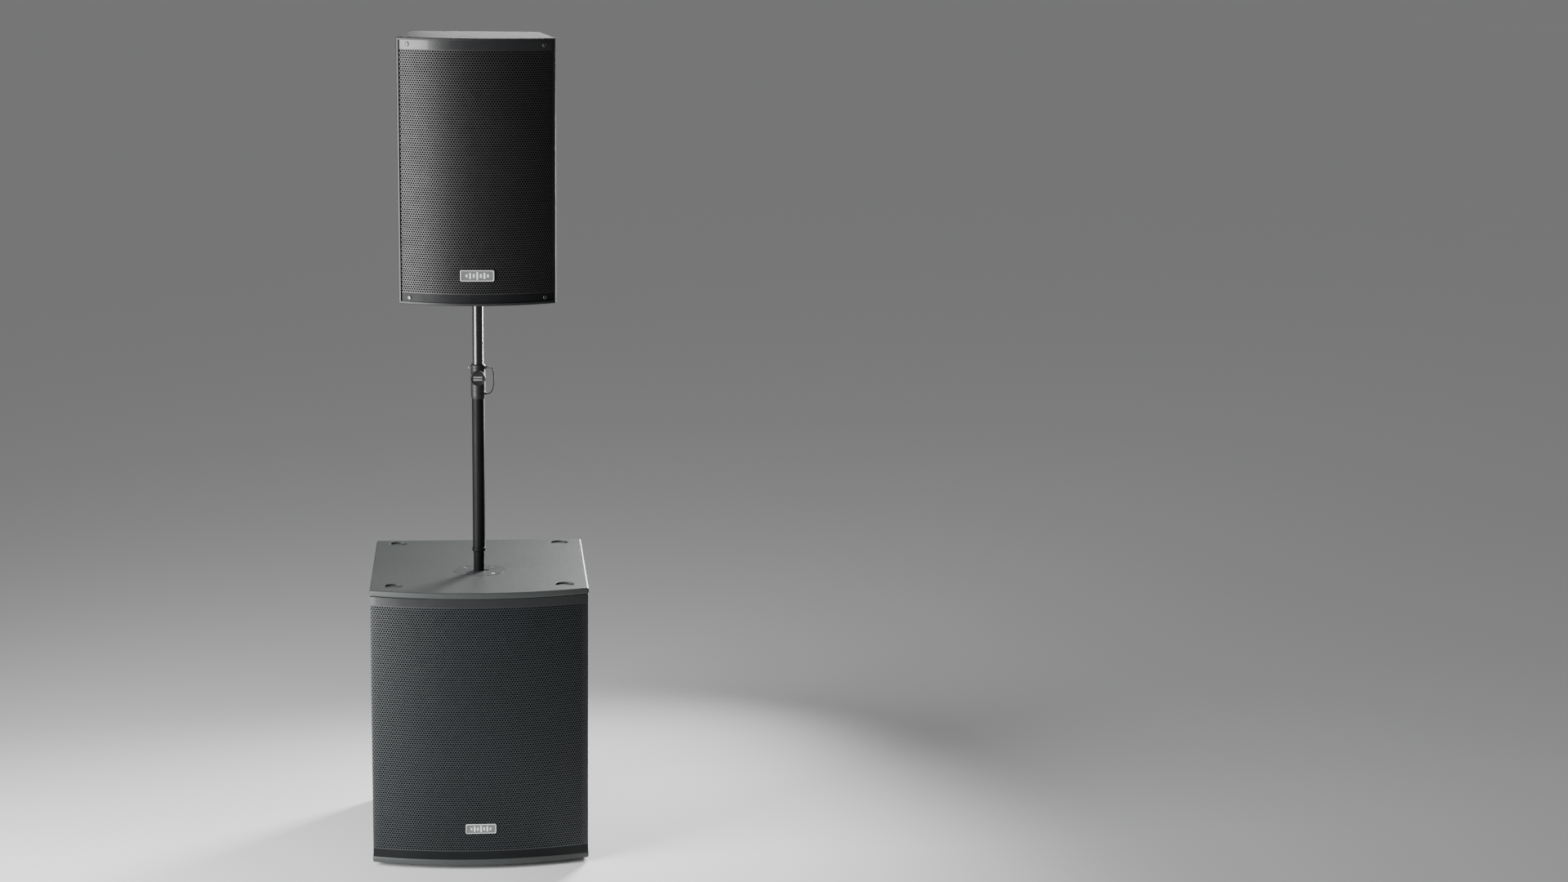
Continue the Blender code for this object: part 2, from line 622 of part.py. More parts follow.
def pole_plate(finishes):
    bore = STUD_RADIUS + 0.0004
    under = SUB_HEIGHT - PLATE_THICKNESS + GAP
    top = SUB_HEIGHT + GAP
    profile = [(bore, SUB_HEIGHT - CUP_DEPTH), (CUP_RADIUS, SUB_HEIGHT - CUP_DEPTH), (CUP_RADIUS, under),
               (PLATE_RADIUS, under), (PLATE_RADIUS, top - 0.0006), (PLATE_RADIUS - 0.0006, top), (bore, top)]
    plate = piece("pole_plate", turned(profile, 28, pole_at(0.0)), finishes["steel_paint"])
    combine(plate, box((0.010, 0.026), (POLE_Y - 0.005, POLE_Y + 0.005), (top - 0.0025, top + 0.01)))


def pole_foot(finishes):
    base = SUB_HEIGHT + 2.0 * GAP
    plug = LOWER_TUBE_RADIUS - TUBE_WALL - 0.0005
    ring = LOWER_TUBE_RADIUS + 0.0015
    profile = [(0.0, SUB_HEIGHT - CUP_DEPTH + 0.006), (STUD_RADIUS, SUB_HEIGHT - CUP_DEPTH + 0.006),
               (STUD_RADIUS, base), (SPIGOT_RADIUS, base), (SPIGOT_RADIUS, POLE_RING_Z),
               (ring, POLE_RING_Z + 0.002), (ring, POLE_RING_TOP - 0.001), (LOWER_TUBE_RADIUS, POLE_RING_TOP),
               (plug, POLE_RING_TOP), (plug, POLE_PLUG_TOP), (0.0, POLE_PLUG_TOP)]
    piece("pole_foot", turned(profile, 20, pole_at(0.0)), finishes["tube"])


def clamp_collar(finishes):
    wide = LOWER_TUBE_RADIUS + 0.0004
    narrow = UPPER_TUBE_RADIUS + 0.0004
    profile = [(wide, COLLAR_LOW), (LOWER_TUBE_RADIUS + 0.0012, COLLAR_LOW), (COLLAR_RADIUS, COLLAR_LOW + 0.008),
               (COLLAR_RADIUS, COLLAR_TOP - 0.003), (COLLAR_RADIUS - 0.002, COLLAR_TOP), (narrow, COLLAR_TOP),
               (narrow, COLLAR_STEP), (wide, COLLAR_STEP)]
    collar = piece("clamp_collar", turned(profile, 20, pole_at(0.0)), finishes["plastic"])
    boss = rod(0.0115, 0.0170, KNOB_BACK - 0.0035, 16, facing_front(0.0, POLE_Y, KNOB_Z))
    lug = rod(0.0032, 0.0180, LANYARD_LUG_X, 10, facing_right(0.0, POLE_Y, LANYARD_LUG_Z))
    combine(collar, merged(boss, lug), "UNION")
    bore = rod(SCREW_RADIUS + 0.0004, 0.0120, KNOB_BACK + 0.01, 16, facing_front(0.0, POLE_Y, KNOB_Z))
    pin_hole = rod(PIN_HOLE_RADIUS, -0.04, 0.04, 12, facing_right(0.0, POLE_Y, PIN_Z))
    combine(collar, merged(bore, pin_hole))


def clamp_screw(finishes):
    """The pad that presses on the upper tube, and the knob whose screw drives it."""
    pad_back = UPPER_TUBE_RADIUS + GAP
    pad_front = pad_back + 0.0045
    place = facing_front(0.0, POLE_Y, KNOB_Z)
    piece("clamp_pad", rod(SCREW_RADIUS, pad_back, pad_front, 14, place), finishes["brass"])

    outline = []
    lobes = 8
    steps = 32
    for index in range(steps):
        angle = 2.0 * math.pi * index / steps
        radius = KNOB_RADIUS * (1.0 - 0.035 * (0.5 - 0.5 * math.cos(lobes * angle)))
        outline.append((radius * math.cos(angle), radius * math.sin(angle)))
    knob = piece("clamp_knob", prism(outline, KNOB_BACK, KNOB_BACK + KNOB_LENGTH, place), finishes["plastic"],
                 origin=(0.0, POLE_Y, KNOB_Z))
    round_edges(knob, 0.0020, 1)
    screw = rod(SCREW_RADIUS - 0.0004, pad_front + GAP, KNOB_BACK + 0.004, 14, place)
    neck = rod(0.0090, KNOB_BACK - 0.0028, KNOB_BACK + 0.004, 16, place)
    face = KNOB_BACK + KNOB_LENGTH
    bars = []
    for height in (-0.0036, 0.0036):
        bar = prism(rounded_rectangle(0.0125, 0.0024, 0.0012, 2), face - 0.001, face + 0.0012)
        bmesh.ops.translate(bar, verts=bar.verts, vec=(0.0, height, 0.0))
        bmesh.ops.transform(bar, matrix=place, verts=bar.verts)
        bars.append(bar)
    combine(knob, screw, "UNION")
    combine(knob, neck, "UNION")
    combine(knob, merged(*bars), "UNION")


def upper_tube(finishes):
    shaft = piece("upper_tube", tube(UPPER_TUBE_RADIUS, TUBE_WALL, UPPER_TUBE_LOW, SOCKET_TOP - GAP),
                  finishes["tube"])
    holes = []
    for step in range(-HOLES_BELOW, HOLES_ABOVE + 1):
        holes.append(rod(PIN_HOLE_RADIUS, -0.03, 0.03, 8, facing_right(0.0, POLE_Y, PIN_Z + step * HOLE_PITCH)))
    combine(shaft, merged(*holes))
    sleeve = tube(SOCKET_RADIUS - 0.0004, SOCKET_RADIUS - 0.0004 - UPPER_TUBE_RADIUS - GAP,
                  TOP_LOW + 0.002, SOCKET_TOP - GAP)
    piece("pole_top_sleeve", sleeve, finishes["plastic"])


def safety_pin(finishes):
    profile = [(0.0, PIN_TIP_X), (PIN_RADIUS - 0.0012, PIN_TIP_X), (PIN_RADIUS, PIN_TIP_X + 0.002),
               (PIN_RADIUS, PIN_HEAD_X), (0.0048, PIN_HEAD_X + 0.001), (0.0048, PIN_END_X - 0.005),
               (0.0034, PIN_END_X), (0.0, PIN_END_X)]
    piece("safety_pin", turned(profile, 12, facing_right(0.0, POLE_Y, PIN_Z)), finishes["zinc"],
          origin=(0.0, POLE_Y, PIN_Z))


def smooth_route(points, spacing):
    """Points about `spacing` apart on a Catmull-Rom curve through the given points."""
    route = [Vector(point) for point in points]
    ends = [route[0] * 2.0 - route[1]] + route + [route[-1] * 2.0 - route[-2]]
    dense = []
    for index in range(1, len(ends) - 2):
        before, start, end, after = ends[index - 1:index + 3]
        for step in range(24):
            t = step / 24.0
            dense.append(0.5 * (2.0 * start + (end - before) * t
                                + (2.0 * before - 5.0 * start + 4.0 * end - after) * t ** 2
                                + (3.0 * start - before - 3.0 * end + after) * t ** 3))
    dense.append(route[-1])
    result, travelled = [dense[0]], 0.0
    for first, second in zip(dense, dense[1:]):
        travelled += (second - first).length
        if travelled >= spacing:
            result.append(second)
            travelled = 0.0
    if (result[-1] - dense[-1]).length < spacing * 0.5:
        result.pop()
    return result + [dense[-1]]


def pin_lanyard(finishes):
    """The cord that ties the safety pin to the collar."""
    route = [(PIN_END_X + 2.0 * GAP, PIN_Z), (0.0374, 1.3763), (0.0404, 1.3735), (0.0424, 1.3685), (0.0435, 1.3620),
             (0.0441, 1.3535), (0.0443, 1.3430), (0.0438, 1.3320), (0.0425, 1.3222), (0.0402, 1.3142),
             (0.0370, 1.3084), (0.0330, 1.3047), (0.0285, 1.3031), (LANYARD_LUG_X + 2.0 * GAP, LANYARD_LUG_Z)]
    points = smooth_route([(x, POLE_Y, z) for x, z in route], LANYARD_RADIUS * 4.5)
    curve = bpy.data.curves.new("pin_lanyard", "CURVE")
    curve.dimensions = "3D"
    curve.bevel_depth = LANYARD_RADIUS
    curve.bevel_resolution = 2
    curve.render_resolution_u = 0
    curve.use_fill_caps = True
    spline = curve.splines.new("POLY")
    spline.points.add(len(points) - 1)
    for slot, point in zip(spline.points, points):
        slot.co = (*point, 1.0)
    curve.materials.append(finishes["cord"])
    item = bpy.data.objects.new("pin_lanyard", curve)
    bpy.context.scene.collection.objects.link(item)


def build_pole(finishes):
    pole_plate(finishes)
    pole_foot(finishes)
    lower = tube(LOWER_TUBE_RADIUS, TUBE_WALL, POLE_RING_TOP + GAP, COLLAR_STEP - GAP)
    piece("lower_tube", lower, finishes["tube"])
    clamp_collar(finishes)
    clamp_screw(finishes)
    upper_tube(finishes)
    safety_pin(finishes)
    pin_lanyard(finishes)


# ================================================================================================
# Top speaker
# ================================================================================================
def top_half_width(y):
    """Half width of the tapered cabinet at a depth."""
    taper = (TOP_HALF_WIDTH - TOP_BACK_HALF_WIDTH) / (TOP_BACK_Y - TOP_TAPER_Y)
    return TOP_HALF_WIDTH - taper * max(0.0, y - TOP_TAPER_Y)


def rear_corner(inset, steps):
    """Right rear corner of the plan outline, from the side to the back."""
    side = top_half_width(TOP_BACK_Y - TOP_BACK_RADIUS) - inset
    radius = TOP_BACK_RADIUS - inset
    centre = (side - radius, TOP_BACK_Y - TOP_BACK_RADIUS)
    return arc(centre, radius, 0.0, 90.0, steps)


def top_plan(inset, front, steps=6):
    """Plan outline of the cabinet; `front` holds its front points from left to right."""
    right = [(top_half_width(TOP_TAPER_Y) - inset, TOP_TAPER_Y)] + rear_corner(inset, steps)
    left = [(-x, y) for x, y in reversed(right)]
    return front + right + left


def top_cabinet(finishes):
    outer = top_plan(0.0, bulge_arc(TOP_HALF_WIDTH, TOP_CHORD_Y, TOP_BULGE, 16))
    shell = piece("top_cabinet_shell", prism(outer, TOP_LOW, TOP_HIGH), finishes["plastic"])
    round_edges(shell, 0.003, 2)
    inner = TOP_HALF_WIDTH - TOP_WALL
    open_front = [(-inner, TOP_CHORD_Y - 0.12), (inner, TOP_CHORD_Y - 0.12)]
    cavity = prism(top_plan(TOP_WALL, open_front), TOP_LOW + TOP_LIP, TOP_HIGH - TOP_LIP)
    combine(shell, cavity)
    amp_z, amp_x, amp_half = TOP_AMP
    window = box((-amp_x + 0.010, amp_x - 0.010), (TOP_BACK_Y - 0.05, TOP_BACK_Y + 0.02),
                 (amp_z - amp_half + 0.010, amp_z + amp_half - 0.010))
    pole_hole = rod(SOCKET_RADIUS + 0.0052, TOP_LOW - 0.01, TOP_LOW + 0.02, 24, pole_at(0.0))
    combine(shell, merged(window, pole_hole))
    blocks = []
    pockets = []
    for side in (-1, 1):
        blocks.append(handle_block(side, 0.0, -0.003, 0.152))
        pockets.append(handle_block(side, 0.006, 0.02, 0.158))
    combine(shell, merged(*blocks), "UNION")
    combine(shell, merged(*pockets))


def handle_block(side, margin, outward, inner_x):
    """A side handle's block, or its pocket when the margin is positive."""
    y_pair = (TOP_HANDLE_Y[0] + margin, TOP_HANDLE_Y[1] - margin)
    outline = [(side * inner_x, y_pair[0]), (side * (top_half_width(y_pair[0]) + outward), y_pair[0]),
               (side * (top_half_width(y_pair[1]) + outward), y_pair[1]), (side * inner_x, y_pair[1])]
    return prism(outline, TOP_HANDLE_Z[0] + margin, TOP_HANDLE_Z[1] - margin)


def top_baffle(finishes):
    half = TOP_HALF_WIDTH - TOP_WALL - 0.0015
    baffle = piece("top_baffle", box((-half, half), (TOP_BAFFLE_Y, TOP_BAFFLE_Y + TOP_BAFFLE_THICKNESS),
                                     (TOP_LOW + TOP_LIP + GAP, TOP_HIGH - TOP_LIP - GAP)), finishes["plastic"])
    woofer_hole = rod(TOP_WOOFER_RADIUS * 0.920, -0.05, 0.05, 32, facing_front(0.0, TOP_BAFFLE_Y, TOP_WOOFER_Z))
    horn_hole = prism(rounded_rectangle(HORN_FLANGE[0] - 0.025, HORN_FLANGE[1] - 0.025, 0.030, 3), -0.05, 0.05,
                      facing_front(0.0, TOP_BAFFLE_Y, HORN_Z))
    combine(baffle, merged(woofer_hole, horn_hole))


def horn(finishes):
    """Rectangular waveguide that narrows to a round throat, with its compression driver."""
    def loop(half_width, half_height, radius, height):
        points = rounded_rectangle(half_width, half_height, radius, 4)
        return [(x, TOP_BAFFLE_Y - height, HORN_Z + z) for x, z in points]

    loops = [loop(*HORN_FLANGE, 0.030, 0.005), loop(*HORN_FLANGE, 0.030, GAP), loop(0.148, 0.083, 0.030, GAP),
             loop(0.090, 0.052, 0.030, -0.040), loop(0.045, 0.032, 0.0315, -0.085),
             loop(0.024, 0.024, 0.0235, -0.120),
             loop(0.0165, 0.0165, 0.0160, -0.120), loop(0.040, 0.027, 0.0265, -0.082),
             loop(0.085, 0.047, 0.027, -0.038), loop(0.143, 0.078, 0.028, 0.005)]
    piece("horn", lofted(loops, ring=True), finishes["plastic"])
    profile = [(0.0, 0.0), (0.028, 0.0), (0.042, 0.008), (0.045, 0.012), (0.045, 0.034), (0.039, 0.042),
               (0.0, 0.042)]
    driver = turned(profile, 24, facing_back(0.0, TOP_BAFFLE_Y + 0.1205, HORN_Z))
    piece("horn_driver", driver, finishes["steel"])


def top_front(finishes):
    half = TOP_HALF_WIDTH - TOP_WALL - 0.0007
    bulge = TOP_BULGE - GRILLE_INSET
    chord = TOP_CHORD_Y + 0.0005
    grille = piece("top_grille", curved_sheet(half, chord, bulge, GRILLE_THICKNESS, TOP_LOW + TOP_LIP + GAP,
                                              TOP_HIGH - TOP_LIP - GAP), finishes["grille"])
    radius = bulge_radius(half, bulge)
    centre_y = chord - bulge + radius
    holes = []
    index = 1
    for z in (TOP_LOW + SCREW_INSET[1], TOP_HIGH - SCREW_INSET[1]):
        for side in (-1, 1):
            x = side * (TOP_HALF_WIDTH - SCREW_INSET[0])
            lean = math.asin(x / radius)
            place = (Matrix.Translation((x, centre_y - radius * math.cos(lean), z))
                     @ Matrix.Rotation(lean, 4, "Z") @ Matrix.Rotation(math.radians(90.0), 4, "X"))
            holes.append(rod(0.0030, -0.02, 0.02, 10, place))
            profile = [(0.0, -0.016), (0.0024, -0.016), (0.0024, GAP), (0.0060, GAP), (0.0056, 0.0018),
                       (0.0042, 0.0026), (0.0, 0.0026)]
            piece("grille_screw_%d" % index, turned(profile, 12, place), finishes["screw"])
            index += 1
    combine(grille, merged(*holes))
    badge("top_badge", TOP_BADGE, chord - bulge, TOP_BADGE_Z, finishes)


def top_pole_socket(finishes):
    outer = SOCKET_RADIUS + 0.0045
    flange = TOP_LOW + TOP_LIP + GAP
    profile = [(0.0, SOCKET_TOP), (SOCKET_RADIUS, SOCKET_TOP), (SOCKET_RADIUS, TOP_LOW), (outer, TOP_LOW),
               (outer, flange), (0.045, flange), (0.045, flange + 0.004), (outer, flange + 0.004),
               (outer, SOCKET_TOP + 0.004), (0.0, SOCKET_TOP + 0.004)]
    piece("top_pole_socket", turned(profile, 20, pole_at(0.0)), finishes["plastic"])


def build_top_speaker(finishes):
    top_cabinet(finishes)
    top_baffle(finishes)
    horn(finishes)
    top_front(finishes)
    top_pole_socket(finishes)
    woofer("top", TOP_WOOFER_RADIUS, TOP_BAFFLE_Y, TOP_WOOFER_Z, finishes)
    rear_panel("top", *TOP_AMP, TOP_BACK_Y, TOP_FIN_HEIGHT, finishes)


# ================================================================================================
def all_finishes():
    return {
        "wood": finish("textured_wood_paint", (0.050, 0.055, 0.058), 0.65),
        "plastic": finish("moulded_plastic", (0.030, 0.030, 0.030), 0.50),
        "grille": finish("grille_paint", (0.028, 0.030, 0.032), 0.42, 0.2),
        "badge": finish("badge_metal", (0.62, 0.63, 0.64), 0.30, 1.0),
        "rubber": finish("black_rubber", (0.020, 0.020, 0.020), 0.85),
        "cast": finish("cast_frame", (0.10, 0.10, 0.11), 0.55, 0.6),
        "steel": finish("plain_steel", (0.35, 0.35, 0.36), 0.40, 1.0),
        "steel_paint": finish("painted_plate", (0.060, 0.062, 0.063), 0.45, 0.2),
        "tube": finish("black_tube", (0.022, 0.022, 0.023), 0.25, 0.3),
        "zinc": finish("zinc_steel", (0.40, 0.40, 0.41), 0.35, 1.0),
        "brass": finish("brass_pad", (0.70, 0.52, 0.22), 0.35, 1.0),
        "cord": finish("black_cord", (0.018, 0.018, 0.018), 0.70),
        "paper": finish("cone_paper", (0.035, 0.033, 0.031), 0.90),
        "panel": finish("panel_metal", (0.045, 0.046, 0.048), 0.45, 0.4),
        "socket": finish("socket_plastic", (0.016, 0.016, 0.016), 0.40),
        "knob": finish("control_plastic", (0.020, 0.020, 0.020), 0.45),
        "board": finish("circuit_board", (0.030, 0.160, 0.060), 0.55),
        "screw": finish("black_screw", (0.025, 0.025, 0.025), 0.35, 0.6),
    }


def main():
    clear_scene()
    finishes = all_finishes()
    build_subwoofer(finishes)
    build_pole(finishes)
    build_top_speaker(finishes)


main()
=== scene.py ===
"""PA speaker stack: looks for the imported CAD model.

Frame: metres, +Z up, front towards -Y, origin on the floor in the middle of the stack's footprint.
Places repeat the CAD's own dimensions, or come from the boxes of its nodes.
"""

import json
from math import asin, cos, degrees, pi, radians, sin, sqrt

import bmesh
import bpy
import numpy as np
from mathutils import Matrix, Vector


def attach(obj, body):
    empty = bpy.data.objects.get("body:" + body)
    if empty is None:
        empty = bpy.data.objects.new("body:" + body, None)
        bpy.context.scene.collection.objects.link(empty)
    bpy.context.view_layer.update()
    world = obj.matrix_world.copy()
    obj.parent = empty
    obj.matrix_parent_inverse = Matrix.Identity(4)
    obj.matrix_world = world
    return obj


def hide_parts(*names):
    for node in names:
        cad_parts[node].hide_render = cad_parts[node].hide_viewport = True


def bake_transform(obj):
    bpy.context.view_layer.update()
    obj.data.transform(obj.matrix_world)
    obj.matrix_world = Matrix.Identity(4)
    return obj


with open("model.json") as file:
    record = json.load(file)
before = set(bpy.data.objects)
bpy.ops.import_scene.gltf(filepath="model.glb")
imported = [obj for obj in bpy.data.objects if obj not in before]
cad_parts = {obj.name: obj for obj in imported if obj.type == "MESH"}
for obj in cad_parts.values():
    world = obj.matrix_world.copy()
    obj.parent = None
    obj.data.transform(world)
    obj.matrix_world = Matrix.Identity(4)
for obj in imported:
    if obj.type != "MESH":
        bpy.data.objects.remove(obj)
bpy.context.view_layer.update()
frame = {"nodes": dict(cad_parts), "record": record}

GAP = 0.0003                      # what the CAD leaves between two nodes
SMOOTH = radians(32.0)
BEVEL_ANGLE = radians(40.0)

# ---- camera ----
CAMERA_PLACE = (0.0, -8.061, 2.65)
CAMERA_TURN = (6.18, 10.48, -0.74)    # degrees: yaw to the right, pitch down, roll
LENS = 65.9

# ---- subwoofer ----
SUB_HALF_WIDTH = 0.302
SUB_SIDE_X = 0.300
SUB_INNER_X = 0.282
SUB_CHORD_Y = -0.292
SUB_BACK_Y = 0.343
SUB_BULGE = 0.051
SUB_HEIGHT = 0.794
SUB_CEILING_Z = 0.776
SUB_FLOOR_Z = 0.030
SUB_FOOT_HEIGHT = 0.012
NOSING = 0.005
STACK_POINTS = [(side * 0.237, y) for y in (-0.242, 0.296) for side in (-1, 1)]
RECESS_RADIUS = 0.026
RECESS_DEPTH = 0.005
HANDLE_Y, HANDLE_Z = 0.030, 0.500
BADGE_Z = 0.119

# ---- pole ----
POLE_Y = -0.061
LOWER_RADIUS = 0.0175
UPPER_RADIUS = 0.0150
TUBE_WALL = 0.0018
PLATE_RADIUS = 0.0715
KNOB_Z = 1.353
KNOB_BACK = 0.0310
KNOB_LENGTH = 0.0160
KNOB_RADIUS = 0.0215
PIN_Z = 1.377
PIN_HOLE_RADIUS = 0.0040
PIN_HOLE_STEP = 0.060
CORD_RADIUS = 0.0016
LUG_Z = 1.303                     # the collar's lug, where the pin's cord is tied
LOWER_TUBE = (0.8623, 1.3307)
UPPER_TUBE_LOW = 1.008
COLLAR_LOW, COLLAR_STEP, COLLAR_TOP = 1.290, 1.331, 1.388
BOLT_CIRCLE = 0.056               # radius on which the plate's four screws lie

# ---- top speaker ----
TOP_LOW, TOP_HIGH = 1.583, 2.303
TOP_HALF_WIDTH = 0.2135
TOP_BACK_HALF_WIDTH = 0.180
TOP_CHORD_Y = -0.241
TOP_BACK_Y = 0.144
TOP_TAPER_Y = -0.221
TOP_BULGE = 0.060
TOP_BACK_RADIUS = 0.045
TOP_WALL = 0.006
TOP_LIP = 0.007
TOP_BADGE_Z = 1.666
TOP_HANDLE_Y = (TOP_CHORD_Y + 0.170, TOP_CHORD_Y + 0.310)
TOP_HANDLE_Z = (TOP_LOW + 0.385, TOP_LOW + 0.480)
POCKET_WALL = 0.006

# ---- rear panels: centre height, half width, half height; places across them ----
TOP_AMP = (1.850, 0.115, 0.190)
SUB_AMP = (0.420, 0.150, 0.200)
SUB_BACK_FACE = 0.331
PANEL_THICKNESS = 0.003
LEVEL_X, TONE_X, SWITCH_X = -0.070, -0.035, 0.045
SOCKET_X, INLET_X, ROCKER_X = 0.015, 0.035, -0.050

# ---- grilles ----
GRILLE_INSET = 0.003
SHEET = 0.0014                    # thickness of the perforated steel
FOAM, FOAM_GAP = 0.003, 0.0004
HOLE_RADIUS = 0.00255
HOLE_SIDES = 12
SUB_HOLES = (86, 114, 0.00704, 4)     # columns, rows, pitch, pieces that the sheet is split into
TOP_HOLES = (62, 109, 0.00692, 3)
TOP_GRILLE_HALF = TOP_HALF_WIDTH - TOP_WALL - 0.0007
TOP_GRILLE_CHORD_Y = TOP_CHORD_Y + 0.0005


def in_scene(item):
    bpy.context.scene.collection.objects.link(item)
    return item


def moved(x, y, z):
    return Matrix.Translation((x, y, z))


def spun(angle, axis):
    return Matrix.Rotation(radians(angle), 4, axis)


# ---- Camera ----
def make_camera():
    yaw, pitch, roll = (radians(angle) for angle in CAMERA_TURN)
    right = Vector((cos(yaw), -sin(yaw), 0.0))
    ahead = Vector((sin(yaw) * cos(pitch), cos(yaw) * cos(pitch), -sin(pitch)))
    up = right.cross(ahead)
    turned_right = right * cos(roll) - up * sin(roll)
    turned_up = right * sin(roll) + up * cos(roll)
    data = bpy.data.cameras.new("camera")
    data.lens, data.sensor_width = LENS, 36.0
    data.clip_start, data.clip_end = 0.1, 500.0
    camera = in_scene(bpy.data.objects.new("camera", data))
    axes = Matrix((turned_right, turned_up, -ahead)).transposed().to_4x4()
    camera.matrix_world = moved(*CAMERA_PLACE) @ axes
    bpy.context.scene.camera = camera


make_camera()


# ---- Materials ----
class Nodes:
    """Short calls for building one node tree."""

    def __init__(self, name):
        self.material = bpy.data.materials.new(name)
        self.material.use_nodes = True
        self.tree = self.material.node_tree
        self.shader = self.tree.nodes["Principled BSDF"]
        self.place = self.add("ShaderNodeTexCoord").outputs["Object"]

    def add(self, kind, **values):
        node = self.tree.nodes.new(kind)
        for key, value in values.items():
            setattr(node, key, value)
        return node

    def link(self, source, target):
        self.tree.links.new(source, target)

    def texture(self, kind, output, stretch, scale, **values):
        node = self.add("ShaderNodeTex" + kind, **values)
        node.inputs["Scale"].default_value = scale
        place = self.place
        if stretch:
            mapping = self.add("ShaderNodeMapping")
            mapping.inputs["Scale"].default_value = stretch
            self.link(place, mapping.inputs["Vector"])
            place = mapping.outputs["Vector"]
        self.link(place, node.inputs["Vector"])
        return node.outputs[output]

    def noise(self, scale, detail=3.0, stretch=None):
        result = self.texture("Noise", "Fac", stretch, scale)
        result.node.inputs["Detail"].default_value = detail
        return result

    def cells(self, scale, stretch=None, feature="F1"):
        return self.texture("Voronoi", "Distance", stretch, scale, feature=feature)

    def spread(self, source, low, high):
        node = self.add("ShaderNodeMapRange")
        for socket, value in (("From Min", 0.3), ("From Max", 0.7), ("To Min", low), ("To Max", high)):
            node.inputs[socket].default_value = value
        self.link(source, node.inputs["Value"])
        return node.outputs["Result"]

    def colours(self, source, first, second, start=0.3, end=0.7):
        node = self.add("ShaderNodeValToRGB")
        for element, position, colour in zip(node.color_ramp.elements, (start, end), (first, second)):
            element.position = position
            element.color = (*colour, 1.0)
        self.link(source, node.inputs["Fac"])
        return node.outputs["Color"]

    def bump(self, source, distance, strength=1.0, under=None):
        node = self.add("ShaderNodeBump")
        node.inputs["Distance"].default_value = distance
        node.inputs["Strength"].default_value = strength
        self.link(source, node.inputs["Height"])
        if under is not None:
            self.link(under, node.inputs["Normal"])
        return node.outputs["Normal"]

    def set(self, **values):
        for key, value in values.items():
            self.shader.inputs[key.replace("_", " ")].default_value = value


def shade(colour, amount):
    return tuple(min(1.0, channel * amount) for channel in colour)


def coated(name, colour, roughness, mottle, grain, second=None, kind="noise", contrast=0.2, spread=0.06,
           metallic=0, specular=0.5, coat=0, stretch=None):
    """A finish with broad tone changes, uneven gloss and up to two scales of surface grain."""
    n = Nodes(name)
    broad = n.noise(mottle, 4.0)
    n.link(n.colours(broad, shade(colour, 1.0 - contrast), shade(colour, 1.0 + contrast)),
           n.shader.inputs["Base Color"])
    gloss = n.noise(mottle * 7.0, 5.0, stretch)
    n.link(n.spread(gloss, roughness - spread, roughness + spread), n.shader.inputs["Roughness"])
    n.set(Metallic=metallic, Specular_IOR_Level=specular)
    if coat:
        n.set(Coat_Weight=coat, Coat_Roughness=0.08)
    normal = None
    for scale, depth, strength in filter(None, (grain, second)):
        source = n.cells(scale, stretch) if kind == "cells" else n.noise(scale, 2.0, stretch)
        normal = n.bump(source, depth * 1e-6, strength, normal)
    if normal is not None:
        n.link(normal, n.shader.inputs["Normal"])
    return n.material


def textured_wood_paint():
    """Hard sprayed coating: a pebbled skin with a dust-fine speckle of lighter colour, which is painted
    highlight standing for glints on the pebbles' tips.
    """
    n = Nodes("wood_paint")
    pebble = n.cells(620.0, feature="SMOOTH_F1")
    ripple = n.noise(260.0, 3.0)
    speck = n.noise(1500.0, 2.0)
    broad = n.noise(3.5, 4.0)
    # The lighter speckle in the base colour is painted highlight: glints on the tips of the pebbled skin.
    speck_glint_colour = n.colours(speck, (0.03, 0.0333, 0.0326), (0.064, 0.07, 0.0685), 0.42, 0.66)
    tone = n.colours(broad, (0.86, 0.87, 0.87), (1.0, 1.0, 1.0))
    mix = n.add("ShaderNodeMix", data_type="RGBA", blend_type="MULTIPLY")
    mix.inputs[0].default_value = 1.0
    n.link(speck_glint_colour, mix.inputs[6])
    n.link(tone, mix.inputs[7])
    n.link(mix.outputs[2], n.shader.inputs["Base Color"])
    n.link(n.spread(ripple, 0.38, 0.52), n.shader.inputs["Roughness"])
    first = n.bump(ripple, 0.00045, 0.55)
    n.link(n.bump(pebble, 0.00025, 0.45, first), n.shader.inputs["Normal"])
    n.set(Specular_IOR_Level=0.38)
    return n.material


def cord_weave():
    """Round braid: two crossed sets of diagonal strands, with painted shade darkening the gaps between them."""
    n = Nodes("cord_black")
    waves = []
    for lean in (1.0, -1.0):
        mapping = n.add("ShaderNodeMapping")
        mapping.inputs["Rotation"].default_value = (0, lean * radians(42.0), 0)
        n.link(n.place, mapping.inputs["Vector"])
        wave = n.add("ShaderNodeTexWave", wave_type="BANDS", bands_direction="X")
        wave.inputs["Scale"].default_value = 420.0
        n.link(mapping.outputs["Vector"], wave.inputs["Vector"])
        waves.append(wave.outputs["Fac"])
    cross = n.add("ShaderNodeMath", operation="MAXIMUM")
    n.link(waves[0], cross.inputs[0])
    n.link(waves[1], cross.inputs[1])
    # The gaps between strands are painted darker, which is painted shade.
    n.link(n.colours(cross.outputs[0], (0.008, 0.008, 0.008), (0.028, 0.028, 0.028), 0.2, 0.9),
           n.shader.inputs["Base Color"])
    n.link(n.bump(cross.outputs[0], 0.0003, 0.8), n.shader.inputs["Normal"])
    n.set(Roughness=0.62)
    return n.material


